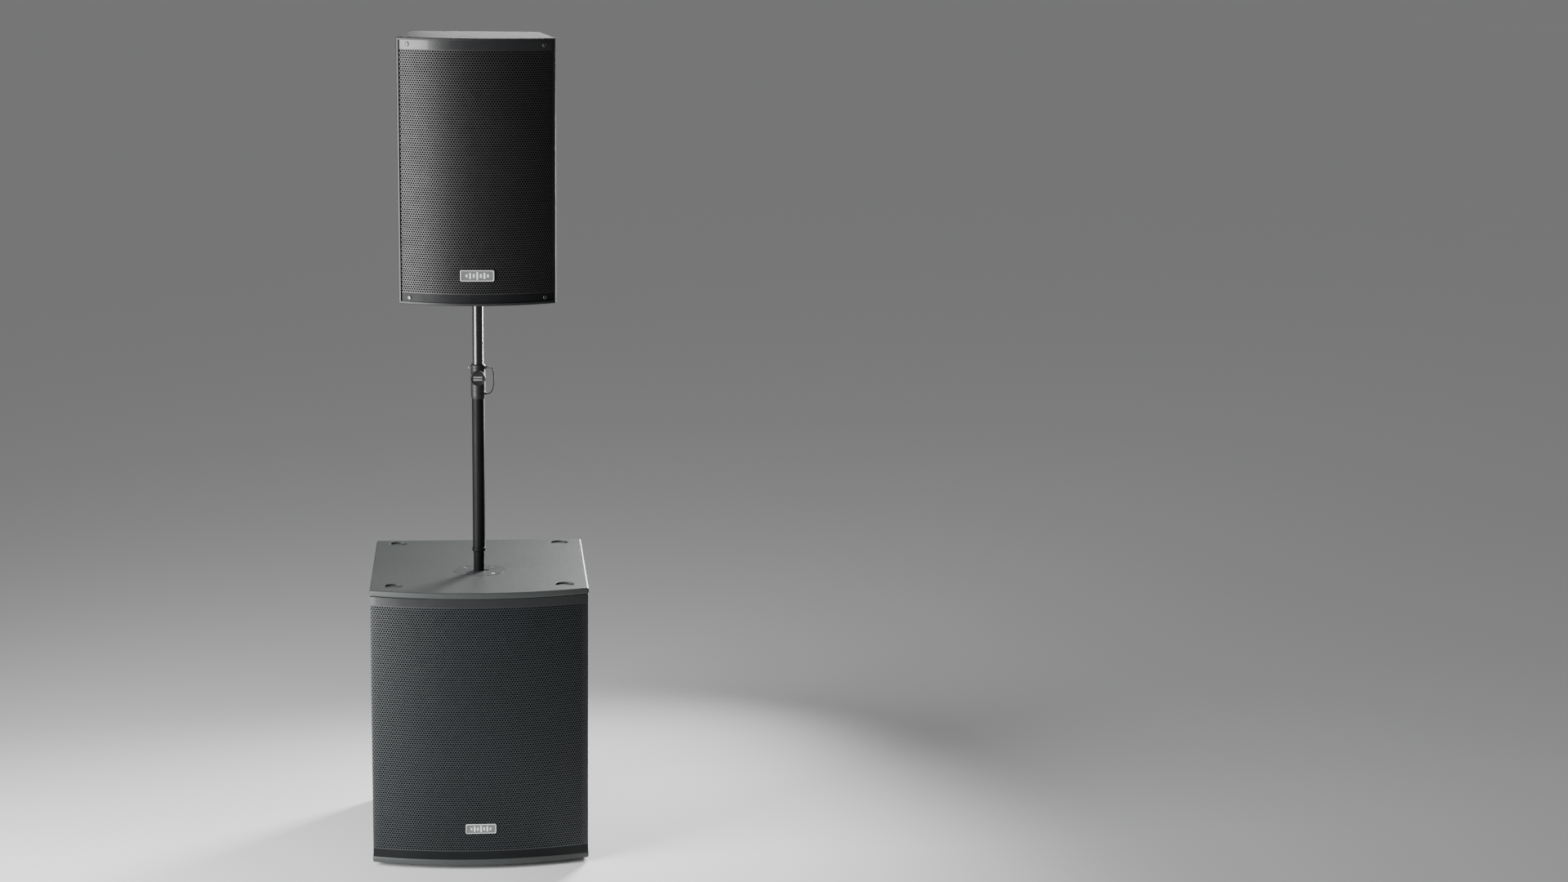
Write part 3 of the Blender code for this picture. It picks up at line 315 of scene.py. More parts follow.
# Each row: colour, roughness, scale of the tone changes, grain (scale, micrometres deep, strength), and
# what differs from the defaults of coated().
FINISHES = {
    "moulded_plastic": ((0.016, 0.016, 0.0165), 0.44, 4, (1400, 100, 0.55),
                        dict(second=(420, 80, 0.35), contrast=0.08, spread=0.02, specular=0.36)),
    "grip_plastic": ((0.01, 0.01, 0.0105), 0.44, 9, (1100, 100, 0.5), dict(specular=0.3)),
    "knob_bar": ((0.15, 0.15, 0.154), 0.5, 120, (1600, 60, 0.5), dict(contrast=0.15)),
    "grille_paint": ((0.0088, 0.0124, 0.0146), 0.46, 5, (2200, 50, 0.35),
                     dict(contrast=0.12, spread=0.04, specular=0.62)),
    "grille_paint_top": ((0.014, 0.014, 0.0142), 0.48, 5, (2200, 50, 0.35),
                         dict(contrast=0.12, spread=0.04, specular=0.5)),
    # The two solid bands are copies of the sheet's paint: the upper one glossier, the lower one darker with
    # weak reflections, which is painted shade.
    "grille_band_high": ((0.014, 0.0148, 0.0155), 0.33, 5, (2200, 40, 0.3),
                         dict(coat=0.25, contrast=0.12, spread=0.03, specular=0.45)),
    "grille_band_low": ((0.0065, 0.0072, 0.0076), 0.48, 5, (900, 40, 0.3), dict(specular=0.16)),
    "foam": ((0.0035, 0.0035, 0.0035), 0.97, 40, (900, 600, 1.0), dict(kind="cells", specular=0.1)),
    "badge_metal": ((0.78, 0.79, 0.79), 0.34, 20, (900, 30, 0.5),
                    dict(metallic=0.35, contrast=0.05, stretch=(0.06, 1.0, 2.5))),
    "badge_inlay": ((0.16, 0.163, 0.164), 0.42, 20, (900, 40, 0.6),
                    dict(metallic=0.4, contrast=0.08, stretch=(0.06, 1.0, 2.5))),
    "rubber_black": ((0.016, 0.016, 0.016), 0.78, 30, (1800, 100, 0.5), {}),
    "cast_frame": ((0.055, 0.055, 0.058), 0.52, 14, (900, 150, 0.6), dict(metallic=0.5)),
    "plain_steel": ((0.36, 0.36, 0.37), 0.34, 12, (1500, 40, 0.4), dict(metallic=1.0, contrast=0.1)),
    "plate_paint": ((0.032, 0.034, 0.035), 0.46, 16, (1600, 60, 0.4), dict(specular=0.3, contrast=0.15)),
    "tube_gloss": ((0.008, 0.008, 0.0083), 0.2, 10, (700, 20, 0.3),
                   dict(spread=0.04, coat=0.8, stretch=(1.0, 1.0, 0.03))),
    "tube_satin": ((0.006, 0.006, 0.0062), 0.48, 10, (1500, 40, 0.35),
                   dict(specular=0.1, stretch=(1.0, 1.0, 0.25))),
    "zinc_steel": ((0.3, 0.3, 0.31), 0.33, 60, (2500, 30, 0.4), dict(metallic=1.0, contrast=0.15)),
    "brass_pad": ((0.72, 0.52, 0.22), 0.33, 60, (2500, 30, 0.4), dict(metallic=1.0)),
    "cone_paper": ((0.028, 0.026, 0.025), 0.9, 12, (500, 400, 0.6), dict(contrast=0.3)),
    "panel_paint": ((0.022, 0.0225, 0.0235), 0.46, 5, (1700, 60, 0.5),
                    dict(specular=0.35, contrast=0.06, spread=0.03)),
    "socket_plastic": ((0.015, 0.015, 0.0155), 0.36, 30, (2200, 50, 0.4), {}),
    "control_plastic": ((0.018, 0.018, 0.0185), 0.32, 30, (2200, 40, 0.35), {}),
    "circuit_board": ((0.02, 0.11, 0.045), 0.5, 60, (400, 300, 0.5), dict(kind="cells", contrast=0.4)),
    "black_screw": ((0.1, 0.1, 0.102), 0.34, 90, (3000, 30, 0.4), dict(metallic=0.9)),
    "contact_metal": ((0.68, 0.62, 0.48), 0.27, 90, (3000, 20, 0.4), dict(metallic=1.0, contrast=0.08)),
    "print_pale": ((0.52, 0.53, 0.53), 0.55, 80, (3000, 30, 0.4), dict(contrast=0.08)),
    "lens_green": ((0.03, 0.3, 0.07), 0.18, 200, None, dict(contrast=0.25, coat=0.6)),
    "lens_red": ((0.34, 0.02, 0.02), 0.18, 200, None, dict(contrast=0.25, coat=0.6)),
}
MATERIALS = {"wood_paint": textured_wood_paint(), "cord_black": cord_weave()}
for finish, (tone, rough, mottling, texture, others) in FINISHES.items():
    MATERIALS[finish] = coated(finish, tone, rough, mottling, texture, **others)


# ---- Mesh tools ----
def keep_mesh(item):
    """Apply every modifier of a piece."""
    graph = bpy.context.evaluated_depsgraph_get()
    mesh = bpy.data.meshes.new_from_object(item.evaluated_get(graph))
    item.modifiers.clear()
    old, item.data = item.data, mesh
    mesh.name = item.name
    bpy.data.meshes.remove(old)


def smoothed(mesh):
    mesh.shade_smooth()
    mesh.set_sharp_from_angle(angle=SMOOTH)
    return mesh


def linked(name, shape):
    """A plain object from a bmesh."""
    bmesh.ops.recalc_face_normals(shape, faces=shape.faces)
    mesh = bpy.data.meshes.new(name)
    shape.to_mesh(mesh)
    shape.free()
    return in_scene(bpy.data.objects.new(name, smoothed(mesh)))


def cut(item, shape, operation="DIFFERENCE"):
    tool = linked(item.name + "_tool", shape)
    modifier = item.modifiers.new(operation.title(), "BOOLEAN")
    modifier.operation = operation
    modifier.solver = "EXACT"
    modifier.object = tool
    keep_mesh(item)
    smoothed(item.data)
    bpy.data.objects.remove(tool, do_unlink=True)


def rounded(item, width, segments=2):
    modifier = item.modifiers.new("Bevel", "BEVEL")
    modifier.width = width
    modifier.segments = segments
    modifier.limit_method = "ANGLE"
    modifier.angle_limit = BEVEL_ANGLE
    modifier.harden_normals = False


def weighted(item):
    """Normals that follow the large faces, so that bevels catch the light and flat faces stay flat."""
    item.modifiers.new("Weighted", "WEIGHTED_NORMAL").keep_sharp = True


def evened(item):
    weighted(item)
    keep_mesh(item)


DONE = {"pin_lanyard"}      # CAD nodes that have a finer piece in their place, or their finish


def shown(item, body, material, replaces=()):
    """Give a piece its finish, its body and the CAD nodes it stands for."""
    item.data.materials.clear()
    item.data.materials.append(MATERIALS[material])
    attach(item, body)
    if replaces:
        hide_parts(*replaces)
        DONE.update(replaces)
    return item


def add(name, shape, body, material, replaces=()):
    return shown(linked(name, shape), body, material, replaces)


def merged(*shapes):
    result = bmesh.new()
    for shape in shapes:
        mesh = bpy.data.meshes.new("part")
        shape.to_mesh(mesh)
        shape.free()
        result.from_mesh(mesh)
        bpy.data.meshes.remove(mesh)
    return result


def arc(centre, radius, start, end, steps):
    angles = [radians(start + (end - start) * index / steps) for index in range(steps + 1)]
    return [(centre[0] + radius * cos(a), centre[1] + radius * sin(a)) for a in angles]


def bulge_radius(half_width, bulge):
    return (half_width ** 2 + bulge ** 2) / (2.0 * bulge)


def bulge_arc(half_width, chord_y, bulge, steps):
    radius = bulge_radius(half_width, bulge)
    half_angle = degrees(asin(half_width / radius))
    return arc((0, chord_y - bulge + radius), radius, 270.0 - half_angle, 270.0 + half_angle, steps)


def rounded_rectangle(half_width, half_height, radius, steps=6):
    points = []
    for side, end, start in ((1, 1, 0), (-1, 1, 90), (-1, -1, 180), (1, -1, 270)):
        points += arc((side * (half_width - radius), end * (half_height - radius)), radius, start,
                      start + 90, steps)
    return points


def prism(outline, low, high, turn=None):
    shape = bmesh.new()
    base = shape.faces.new([shape.verts.new((x, y, low)) for x, y in outline])
    grown = bmesh.ops.extrude_face_region(shape, geom=[base])
    raised = [item for item in grown["geom"] if isinstance(item, bmesh.types.BMVert)]
    bmesh.ops.translate(shape, verts=raised, vec=(0, 0, high - low))
    if turn is not None:
        bmesh.ops.transform(shape, matrix=turn, verts=shape.verts)
    return shape


def box(x_range, y_range, z_range):
    (x_low, x_high), (y_low, y_high) = x_range, y_range
    return prism([(x_low, y_low), (x_high, y_low), (x_high, y_high), (x_low, y_high)], *z_range)


def bridged(shape, rows, ring):
    """Faces between neighbouring rows of corners. A row of one corner is a point on the axis."""
    steps = max(len(row) for row in rows)
    for first, second in list(zip(rows, rows[1:])) + ([(rows[-1], rows[0])] if ring else []):
        for index in range(steps):
            after = (index + 1) % steps
            corners = (first[index % len(first)], second[index % len(second)], second[after % len(second)],
                       first[after % len(first)])
            shape.faces.new(list(dict.fromkeys(corners)))


def turned(profile, segments, place=None):
    """A solid of revolution about Z. A profile off the axis closes into a ring."""
    shape = bmesh.new()
    rows = []
    for radius, height in profile:
        angles = [2.0 * pi * index / segments for index in range(1 if radius < 1e-7 else segments)]
        rows.append([shape.verts.new((radius * cos(a), radius * sin(a), height)) for a in angles])
    bridged(shape, rows, len(rows[0]) > 1)
    if place is not None:
        bmesh.ops.transform(shape, matrix=place, verts=shape.verts)
    return shape


def rod(radius, low, high, segments, place=None):
    return turned([(0, low), (radius, low), (radius, high), (0, high)], segments, place)


def facing_front(x, y, z):
    return moved(x, y, z) @ spun(90.0, "X")


def facing_back(x, y, z):
    return moved(x, y, z) @ spun(-90.0, "X")


def facing_right(x, y, z):
    return moved(x, y, z) @ spun(90.0, "Y")


def pole_at(z):
    return moved(0, POLE_Y, z)


def wavy_ring(place, steps, height, radius_at):
    """Points round an axis, with a radius that depends on the angle."""
    angles = [2.0 * pi * index / steps for index in range(steps)]
    return [place @ Vector((radius_at(a) * cos(a), radius_at(a) * sin(a), height)) for a in angles]


def lofted(loops, ring=False):
    shape = bmesh.new()
    rows = [[shape.verts.new(point) for point in loop] for loop in loops]
    if not ring:
        shape.faces.new(rows[0])
        shape.faces.new(rows[-1])
    bridged(shape, rows, ring)
    return shape


def eased(points, radius, steps=3):
    """A lathe or loft profile with its corners rounded. The first and the last point stay."""
    result = [points[0]]
    for before, here, after in zip(points, points[1:], points[2:]):
        a, b, c = Vector(before), Vector(here), Vector(after)
        reach = min(radius, (a - b).length * 0.45, (c - b).length * 0.45)
        start, end = b + (a - b).normalized() * reach, b + (c - b).normalized() * reach
        for index in range(steps + 1):
            t = index / steps
            point = start * (1 - t) ** 2 + b * 2 * t * (1 - t) + end * t ** 2
            result.append((max(point.x, 0), point.y))
    return result + [points[-1]]


def mm(*pairs):
    """A profile given in millimetres."""
    return [(a / 1000.0, b / 1000.0) for a, b in pairs]


def closed(profile, radius):
    """`eased` for a profile that closes into a ring."""
    return eased(profile + [profile[0]], radius)[:-1]


# ---- The pin's cord ----
def smooth_route(points, spacing):
    """Points about `spacing` apart on a Catmull-Rom curve through the given points."""
    route = [Vector(point) for point in points]
    ends = [route[0] * 2.0 - route[1]] + route + [route[-1] * 2.0 - route[-2]]
    dense = []
    for before, start, end, after in zip(ends, ends[1:], ends[2:], ends[3:]):
        for step in range(24):
            t = step / 24.0
            dense.append(0.5 * (2.0 * start + (end - before) * t
                                + (2.0 * before - 5.0 * start + 4.0 * end - after) * t ** 2
                                + (3.0 * start - before - 3.0 * end + after) * t ** 3))
    dense.append(route[-1])
    result, travelled = [dense[0]], 0.0
    for first, second in zip(dense, dense[1:]):
        travelled += (second - first).length
        if travelled >= spacing:
            result.append(second)
            travelled = 0.0
    if (result[-1] - dense[-1]).length < spacing * 0.5:
        result.pop()
    return result + [dense[-1]]


def tube_along(points, radius, sides):
    """A round tube in the XZ plane along a route."""
    loops = []
    for index, point in enumerate(points):
        before, after = points[max(index - 1, 0)], points[min(index + 1, len(points) - 1)]
        ahead = (after - before).normalized()
        side = Vector((0, 1.0, 0))
        up = ahead.cross(side)
        loops.append([point + (side * cos(a) + up * sin(a)) * radius
                      for a in (2.0 * pi * k / sides for k in range(sides))])
    return lofted(loops)


def pin_cord():
    lug, pin_end = (0.0241, LUG_Z), (0.0336, PIN_Z)
    route = [lug, (0.0285, 1.3031), (0.033, 1.3047), (0.037, 1.3084), (0.0402, 1.3142), (0.0425, 1.3222),
             (0.0438, 1.332), (0.0443, 1.343), (0.0441, 1.3535), (0.0435, 1.362), (0.0424, 1.3685),
             (0.0404, 1.3735), (0.0374, 1.3763), pin_end]
    points = smooth_route([(x, POLE_Y, z) for x, z in route], 0.0024)
    cord = linked("lanyard", tube_along(points, CORD_RADIUS, 16))
    cord.data.materials.append(MATERIALS["cord_black"])
    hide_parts("pin_lanyard")
    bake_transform(cord)


pin_cord()


# ---- Perforated grilles ----
def lattice(columns, rows, pitch, s_half, z_low, z_high):
    """Flat polygons of a sheet with staggered round holes and solid bands, as (row, points) blocks.

    The bands are the rows before the first and after the last. In half pitches across and half hexagon
    radii up, every corner of the hexagons is a whole number.
    """
    unit_s, unit_z = pitch / 2.0, pitch / sqrt(3.0) / 2.0
    s_start = -(2 * columns - 1) * unit_s / 2.0
    z_start = (z_low + z_high) / 2.0 - (rows - 1) * 3.0 * unit_z / 2.0

    def place(grid):
        grid = np.asarray(grid, float)
        return np.stack([s_start + grid[..., 0] * unit_s, z_start + grid[..., 1] * unit_z], -1)

    row, column = np.meshgrid(np.arange(rows), np.arange(columns), indexing="ij")
    cells = np.stack([2 * column + row % 2, 3 * row], -1).reshape(-1, 2)
    cell_row = row.reshape(-1)
    corners = np.array([(1, 1), (0, 2), (-1, 1), (-1, -1), (0, -2), (1, -1)])
    centres = place(cells)
    angles = np.radians(30.0 + np.arange(HOLE_SIDES) * 360.0 / HOLE_SIDES)
    ring = centres[:, None, :] + HOLE_RADIUS * np.stack([np.cos(angles), np.sin(angles)], -1)
    step = HOLE_SIDES // 6
    blocks = []
    for k in range(6):
        outer = [place(cells + corners[k]), place(cells + corners[(k + 1) % 6])]
        inner = [ring[:, (k * step + step - m) % HOLE_SIDES] for m in range(step + 1)]
        blocks.append((cell_row, np.stack(outer + inner, 1)))

    def chain(points):
        return [tuple(point) for point in place(points)]

    left, right = [], []
    for r in range(rows):
        for up in (-1, 1):
            left.append((r % 2 - 1, 3 * r + up))
            right.append((2 * columns - 1 + r % 2, 3 * r + up))
    last = (rows - 1) % 2
    bottom, top = [(-1, -1)], [(last - 1, 3 * rows - 2)]
    for c in range(columns):
        bottom += [(2 * c, -2), (2 * c + 1, -1)]
        top += [(2 * c + last, 3 * rows - 1), (2 * c + last + 1, 3 * rows - 2)]
    left_at, right_at, bottom_at, top_at = (chain(points) for points in (left, right, bottom, top))

    def block(owner, *corners):
        blocks.append((np.array([owner]), np.array([corners])))

    for index in range(len(left) - 1):
        owner = min(rows - 1, index // 2)
        a, b = left_at[index], left_at[index + 1]
        block(owner, (-s_half, a[1]), a, b, (-s_half, b[1]))
        a, b = right_at[index], right_at[index + 1]
        block(owner, a, (s_half, a[1]), (s_half, b[1]), b)
    margin = 0.0012
    band_low, band_high = bottom_at[1][1] - margin, top_at[1][1] + margin
    for row, line, band, end in ((0, bottom_at, band_low, z_low), (rows - 1, top_at, band_high, z_high)):
        upward = end > band
        columns_at = [(-s_half, line[0][1])] + list(line) + [(s_half, line[-1][1])]
        beyond = row + (1 if upward else -1)
        for a, b in zip(columns_at, columns_at[1:]):
            for owner, first, second in ((row, (a[1], b[1]), (band, band)), (beyond, (band, band), (end, end))):
                quad = [(a[0], first[0]), (b[0], first[1]), (b[0], second[1]), (a[0], second[0])]
                block(owner, *(quad if upward else reversed(quad)))
    return blocks


def bent_sheet(name, blocks, rows_from, rows_to, radius, centre_y):
    """Close one run of the sheet's rows into a solid and bend it to the front's curve."""
    by_size = {}
    for owner, points in blocks:
        mine = points[(owner >= rows_from) & (owner < rows_to)]
        if len(mine):
            by_size.setdefault(mine.shape[1], []).append(mine)
    polygons = [np.concatenate(group) for group in by_size.values()]
    flat = np.concatenate([group.reshape(-1, 2) for group in polygons])
    keys = np.round(flat * 1e6).astype(np.int64)
    packed = (keys[:, 0] + 10_000_000) * 100_000_000 + keys[:, 1]
    _, first, index = np.unique(packed, return_index=True, return_inverse=True)
    corners = flat[first]
    count = len(corners)
    faces, start, edges = [], 0, []
    for group in polygons:
        size = group.shape[0] * group.shape[1]
        block = index[start:start + size].reshape(group.shape[:2])
        start += size
        faces.append(block)
        edges.append(np.stack([block, np.roll(block, -1, 1)], -1).reshape(-1, 2))
    edges = np.concatenate(edges)
    forward, backward = edges[:, 0] * count + edges[:, 1], edges[:, 1] * count + edges[:, 0]
    rim = edges[~np.isin(forward, backward)]
    walls = np.stack([rim[:, 1], rim[:, 0], rim[:, 0] + count, rim[:, 1] + count], 1)
    angle = corners[:, 0] / radius
    solid = []
    for r in (radius, radius - SHEET):
        solid.append(np.stack([r * np.sin(angle), centre_y - r * np.cos(angle), corners[:, 1]], 1))
    blocks_out = faces + [block[:, ::-1] + count for block in faces] + [walls]
    mesh = bpy.data.meshes.new(name)
    all_faces = [face for block in blocks_out for face in block.tolist()]
    mesh.from_pydata(np.concatenate(solid).tolist(), [], all_faces)
    mesh.validate()
    return in_scene(bpy.data.objects.new(name, smoothed(mesh)))


def grille(prefix, body, material, half_width, core_x, chord_y, bulge, low, high, holes):
    """The perforated sheet in a few runs of rows, its solid bands, and thin acoustic foam behind it."""
    columns, rows, pitch, pieces = holes
    radius = bulge_radius(half_width, bulge)
    centre_y = chord_y - bulge + radius
    blocks = lattice(columns, rows, pitch, radius * asin(half_width / radius), low + GAP, high - GAP)
    for index in range(pieces):
        first, last = rows * index // pieces, rows * (index + 1) // pieces
        sheet = bent_sheet("%s_grille_%d" % (prefix, index + 1), blocks, first, last, radius, centre_y)
        shown(sheet, body, material, [prefix + "_grille"] if index == 0 else ())
    # The lower band takes the darker finish, which is painted shade.
    for end, row in (("low", -1), ("high", rows)):
        sheet = bent_sheet("%s_grille_band_%s" % (prefix, end), blocks, row, row + 1, radius, centre_y)
        shown(sheet, body, "grille_band_" + end)

    radius -= SHEET + FOAM_GAP
    half_angle, steps = asin(core_x / radius), 64
    angles = [half_angle * (2.0 * k / steps - 1.0) for k in range(steps + 1)]
    outer, inner = ([(r * sin(a), centre_y - r * cos(a)) for a in angles] for r in (radius, radius - FOAM))
    add(prefix + "_foam", prism(outer + inner[::-1], low + 0.001, high - 0.001), body, "foam")


grille("sub", "base", "grille_paint", SUB_SIDE_X, SUB_INNER_X - 0.001, SUB_CHORD_Y - GAP,
       SUB_BULGE - GRILLE_INSET, SUB_FLOOR_Z, SUB_CEILING_Z, SUB_HOLES)
grille("top", "top_speaker", "grille_paint_top", TOP_GRILLE_HALF, TOP_GRILLE_HALF - 0.004,
       TOP_GRILLE_CHORD_Y, TOP_BULGE - GRILLE_INSET, TOP_LOW + TOP_LIP, TOP_HIGH - TOP_LIP, TOP_HOLES)


# ---- Subwoofer cabinet ----
def sub_panel(name, low, high, cutters=()):
    outline = bulge_arc(SUB_HALF_WIDTH, SUB_CHORD_Y, SUB_BULGE, 56)
    outline += [(SUB_HALF_WIDTH, SUB_BACK_Y), (-SUB_HALF_WIDTH, SUB_BACK_Y)]
    panel = linked(name + "_painted", prism(outline, low, high))
    rounded(panel, NOSING, 5)
    keep_mesh(panel)
    if cutters:
        cut(panel, merged(*cutters))
        rounded(panel, 0.0007)
        keep_mesh(panel)
    smoothed(panel.data)
    evened(panel)
    shown(panel, "base", "wood_paint", [name])


recesses = [rod(RECESS_RADIUS, SUB_HEIGHT - RECESS_DEPTH, SUB_HEIGHT + 0.01, 48, moved(x, y, 0))
            for x, y in STACK_POINTS]
PLATE_SEAT_Z = SUB_HEIGHT - 0.0045
seat = [(0, SUB_CEILING_Z - 0.01), (0.0226, SUB_CEILING_Z - 0.01), (0.0226, PLATE_SEAT_Z),
        (PLATE_RADIUS + 0.0006, PLATE_SEAT_Z), (PLATE_RADIUS + 0.0006, SUB_HEIGHT + 0.01),
        (0, SUB_HEIGHT + 0.01)]
sub_panel("sub_top_panel", SUB_CEILING_Z, SUB_HEIGHT, recesses + [turned(seat, 72, pole_at(0))])
sub_panel("sub_bottom_panel", SUB_FOOT_HEIGHT, SUB_FLOOR_Z)


def carried(name, material, edge=0):
    """A CAD node that stays, with its finish and small rounded edges."""
    item = frame["nodes"][name]
    DONE.add(name)
    item.data.materials.clear()
    item.data.materials.append(MATERIALS[material])
    if edge:
        rounded(item, edge)
        weighted(item)


for node in ("sub_left_side", "sub_right_side", "sub_back_panel"):
    carried(node, "wood_paint", 0.0012)
for index in range(1, 5):
    carried("sub_foot_%d" % index, "rubber_black", 0.0008)


def screw_heads(name, spots, radius, height, body, material):
    """Pan heads with a six-sided socket. Each spot is a matrix whose +Z points out of the surface."""
    socket = radius * 0.45
    profile = eased([(socket * 0.96, 0), (radius, 0), (radius, height * 0.45), (radius * 0.72, height),
                     (socket, height), (socket * 0.96, height * 0.35)], radius * 0.12)
    shapes = []
    for spot in spots:
        shapes += [turned(profile, 24, spot), rod(socket * 0.99, height * 0.1, height * 0.35, 6, spot)]
    add(name, merged(*shapes), body, material)


# The cup's loops: half depth, half height, corner radius, how far inside the side board.
HANDLE_LOOPS = (
    (0.064, 0.04, 0.01, 0.057), (0.0655, 0.0415, 0.0105, 0.0555), (0.0702, 0.0462, 0.012, 0.0015),
    (0.0716, 0.0476, 0.0125, -0.0006), (0.0735, 0.0495, 0.013, -0.0014), (0.0765, 0.0525, 0.0135, -0.0017),
    (0.088, 0.063, 0.0125, -0.0017), (0.0894, 0.0644, 0.0123, -0.0013), (0.09, 0.065, 0.012, -0.0006),
    (0.09, 0.065, 0.012, -GAP), (0.074, 0.05, 0.014, -GAP), (0.067, 0.043, 0.012, 0.06))


def sub_handle(name, side):
    """Moulded cup with a rolled flange, a grip bar and six screws."""
    face = side * SUB_SIDE_X
    loops = [[(face - side * inward, HANDLE_Y + a, HANDLE_Z + b) for a, b in rounded_rectangle(y, z, radius, 7)]
             for y, z, radius, inward in HANDLE_LOOPS]
    add(name + "_cup", lofted(loops), "base", "grip_plastic", [name])
    ends = [(0, -0.0725), (0.0135, -0.0725), (0.012, -0.066), (0.0105, -0.058)]
    grooves = []
    for k in range(-9, 10):
        z = k * 0.0052
        grooves += [(0.0105, z - 0.0018), (0.0099, z - 0.0008), (0.0099, z + 0.0008), (0.0105, z + 0.0018)]
    bar = turned(ends + grooves + [(r, -z) for r, z in ends[::-1]], 28,
                 facing_front(face - side * 0.014, HANDLE_Y, HANDLE_Z + 0.022))
    add(name + "_bar", bar, "base", "rubber_black")
    spots = [moved(face + side * 0.0016, HANDLE_Y + y, HANDLE_Z + z) @ spun(90.0 * side, "Y")
             for y in (-0.0815, 0, 0.0815) for z in (-0.057, 0.057)]
    screw_heads(name + "_screws", spots, 0.0036, 0.0014, "base", "black_screw")


sub_handle("sub_left_handle", -1)
sub_handle("sub_right_handle", 1)


# ---- Badges: a raised rim round a brushed field with a row of plain bars ----
def badge(prefix, body, size, y_front, z):
    half_w, half_h = size[0] / 2.0, size[1] / 2.0
    place = facing_front(0, y_front, z)
    rim, thick, floor_at = 0.0019, 0.0024, 0.0013
    loops = [[(x, y, height) for x, y in rounded_rectangle(half_w - inset, half_h - inset, radius)]
             for inset, radius, height in (
                 (0, 0.0042, GAP), (0, 0.0042, thick - 0.0005), (0.0005, 0.0038, thick),
                 (rim - 0.0003, 0.0026, thick), (rim, 0.0023, thick - 0.0003), (rim, 0.0023, floor_at),
                 (rim, 0.0023, GAP))]
    shape = lofted(loops, ring=True)
    bmesh.ops.transform(shape, matrix=place, verts=shape.verts)
    add(prefix + "_badge_rim", shape, body, "badge_metal", [prefix + "_badge"])
    field = prism(rounded_rectangle(half_w - rim + 0.0001, half_h - rim + 0.0001, 0.0023), GAP, floor_at, place)
    add(prefix + "_badge_field", field, body, "badge_inlay")
    pitch = size[0] * 0.105
    bars = [prism(rounded_rectangle(pitch * 0.27, (half_h - rim) * share, 0.0006, 3), floor_at - 0.0002,
                  floor_at + 0.0007, place @ moved(k * pitch, 0, 0))
            for k, share in zip(range(-3, 4), (0.3, 0.62, 0.42, 0.78, 0.42, 0.62, 0.3))]
    add(prefix + "_badge_bars", merged(*bars), body, "badge_metal")


badge("sub", "base", (0.084, 0.027), SUB_CHORD_Y - GAP - SUB_BULGE + GRILLE_INSET, BADGE_Z)
badge("top", "top_speaker", (0.091, 0.03), TOP_GRILLE_CHORD_Y - TOP_BULGE + GRILLE_INSET, TOP_BADGE_Z)


# ---- Pole ----
def lathe_piece(name, profile, segments, place, body, material, node, ease=0.0006):
    """A turned piece whose closed profile has rounded corners."""
    profile = closed(profile, ease) if profile[0][0] > 1e-6 else eased(profile, ease)
    add(name, turned(profile, segments, place), body, material, [node])


def pole_base():
    top = SUB_HEIGHT + GAP
    under, low = PLATE_SEAT_Z + GAP, SUB_HEIGHT - 0.058
    bore, neck = 0.0101, 0.022
    profile = [(bore, low), (neck, low), (neck, under), (PLATE_RADIUS, under), (PLATE_RADIUS, top), (bore, top)]
    plate = linked("pole_plate_painted", turned(profile, 96, pole_at(0)))
    cut(plate, box((0.0105, 0.0265), (POLE_Y - 0.0048, POLE_Y + 0.0048), (top - 0.0026, top + 0.01)))
    holes, spots = [], []
    sink = [(0, top - 0.0024), (0.0022, top - 0.0024), (0.0049, top + 0.0002), (0, top + 0.0002)]
    for k in range(4):
        angle = radians(45.0 + 90.0 * k)
        x, y = BOLT_CIRCLE * cos(angle), POLE_Y + BOLT_CIRCLE * sin(angle)
        holes.append(turned(sink, 28, moved(x, y, 0)))
        spots.append(moved(x, y, top - 0.0022))
    cut(plate, merged(*holes))
    rounded(plate, 0.0005)
    evened(plate)
    shown(plate, "base", "plate_paint", ["pole_plate"])
    screw_heads("pole_plate_screws", spots, 0.004, 0.0019, "base", "zinc_steel")

    foot_low, base = SUB_HEIGHT - 0.052, SUB_HEIGHT + 2.0 * GAP
    foot = [(0, foot_low), (0.0097, foot_low), (0.0097, base), (0.0155, base), (0.0155, 0.85), (0.019, 0.852),
            (0.019, 0.861), (0.0175, 0.862), (0.0152, 0.862), (0.0152, 0.882), (0, 0.882)]
    lathe_piece("pole_foot_turned", foot, 64, pole_at(0), "base", "tube_satin", "pole_foot")
    low, high = LOWER_TUBE
    inner = LOWER_RADIUS - TUBE_WALL
    lower = [(LOWER_RADIUS, low), (LOWER_RADIUS, high), (inner, high), (inner, low)]
    lathe_piece("lower_tube_painted", lower, 64, pole_at(0), "base", "tube_satin", "lower_tube")


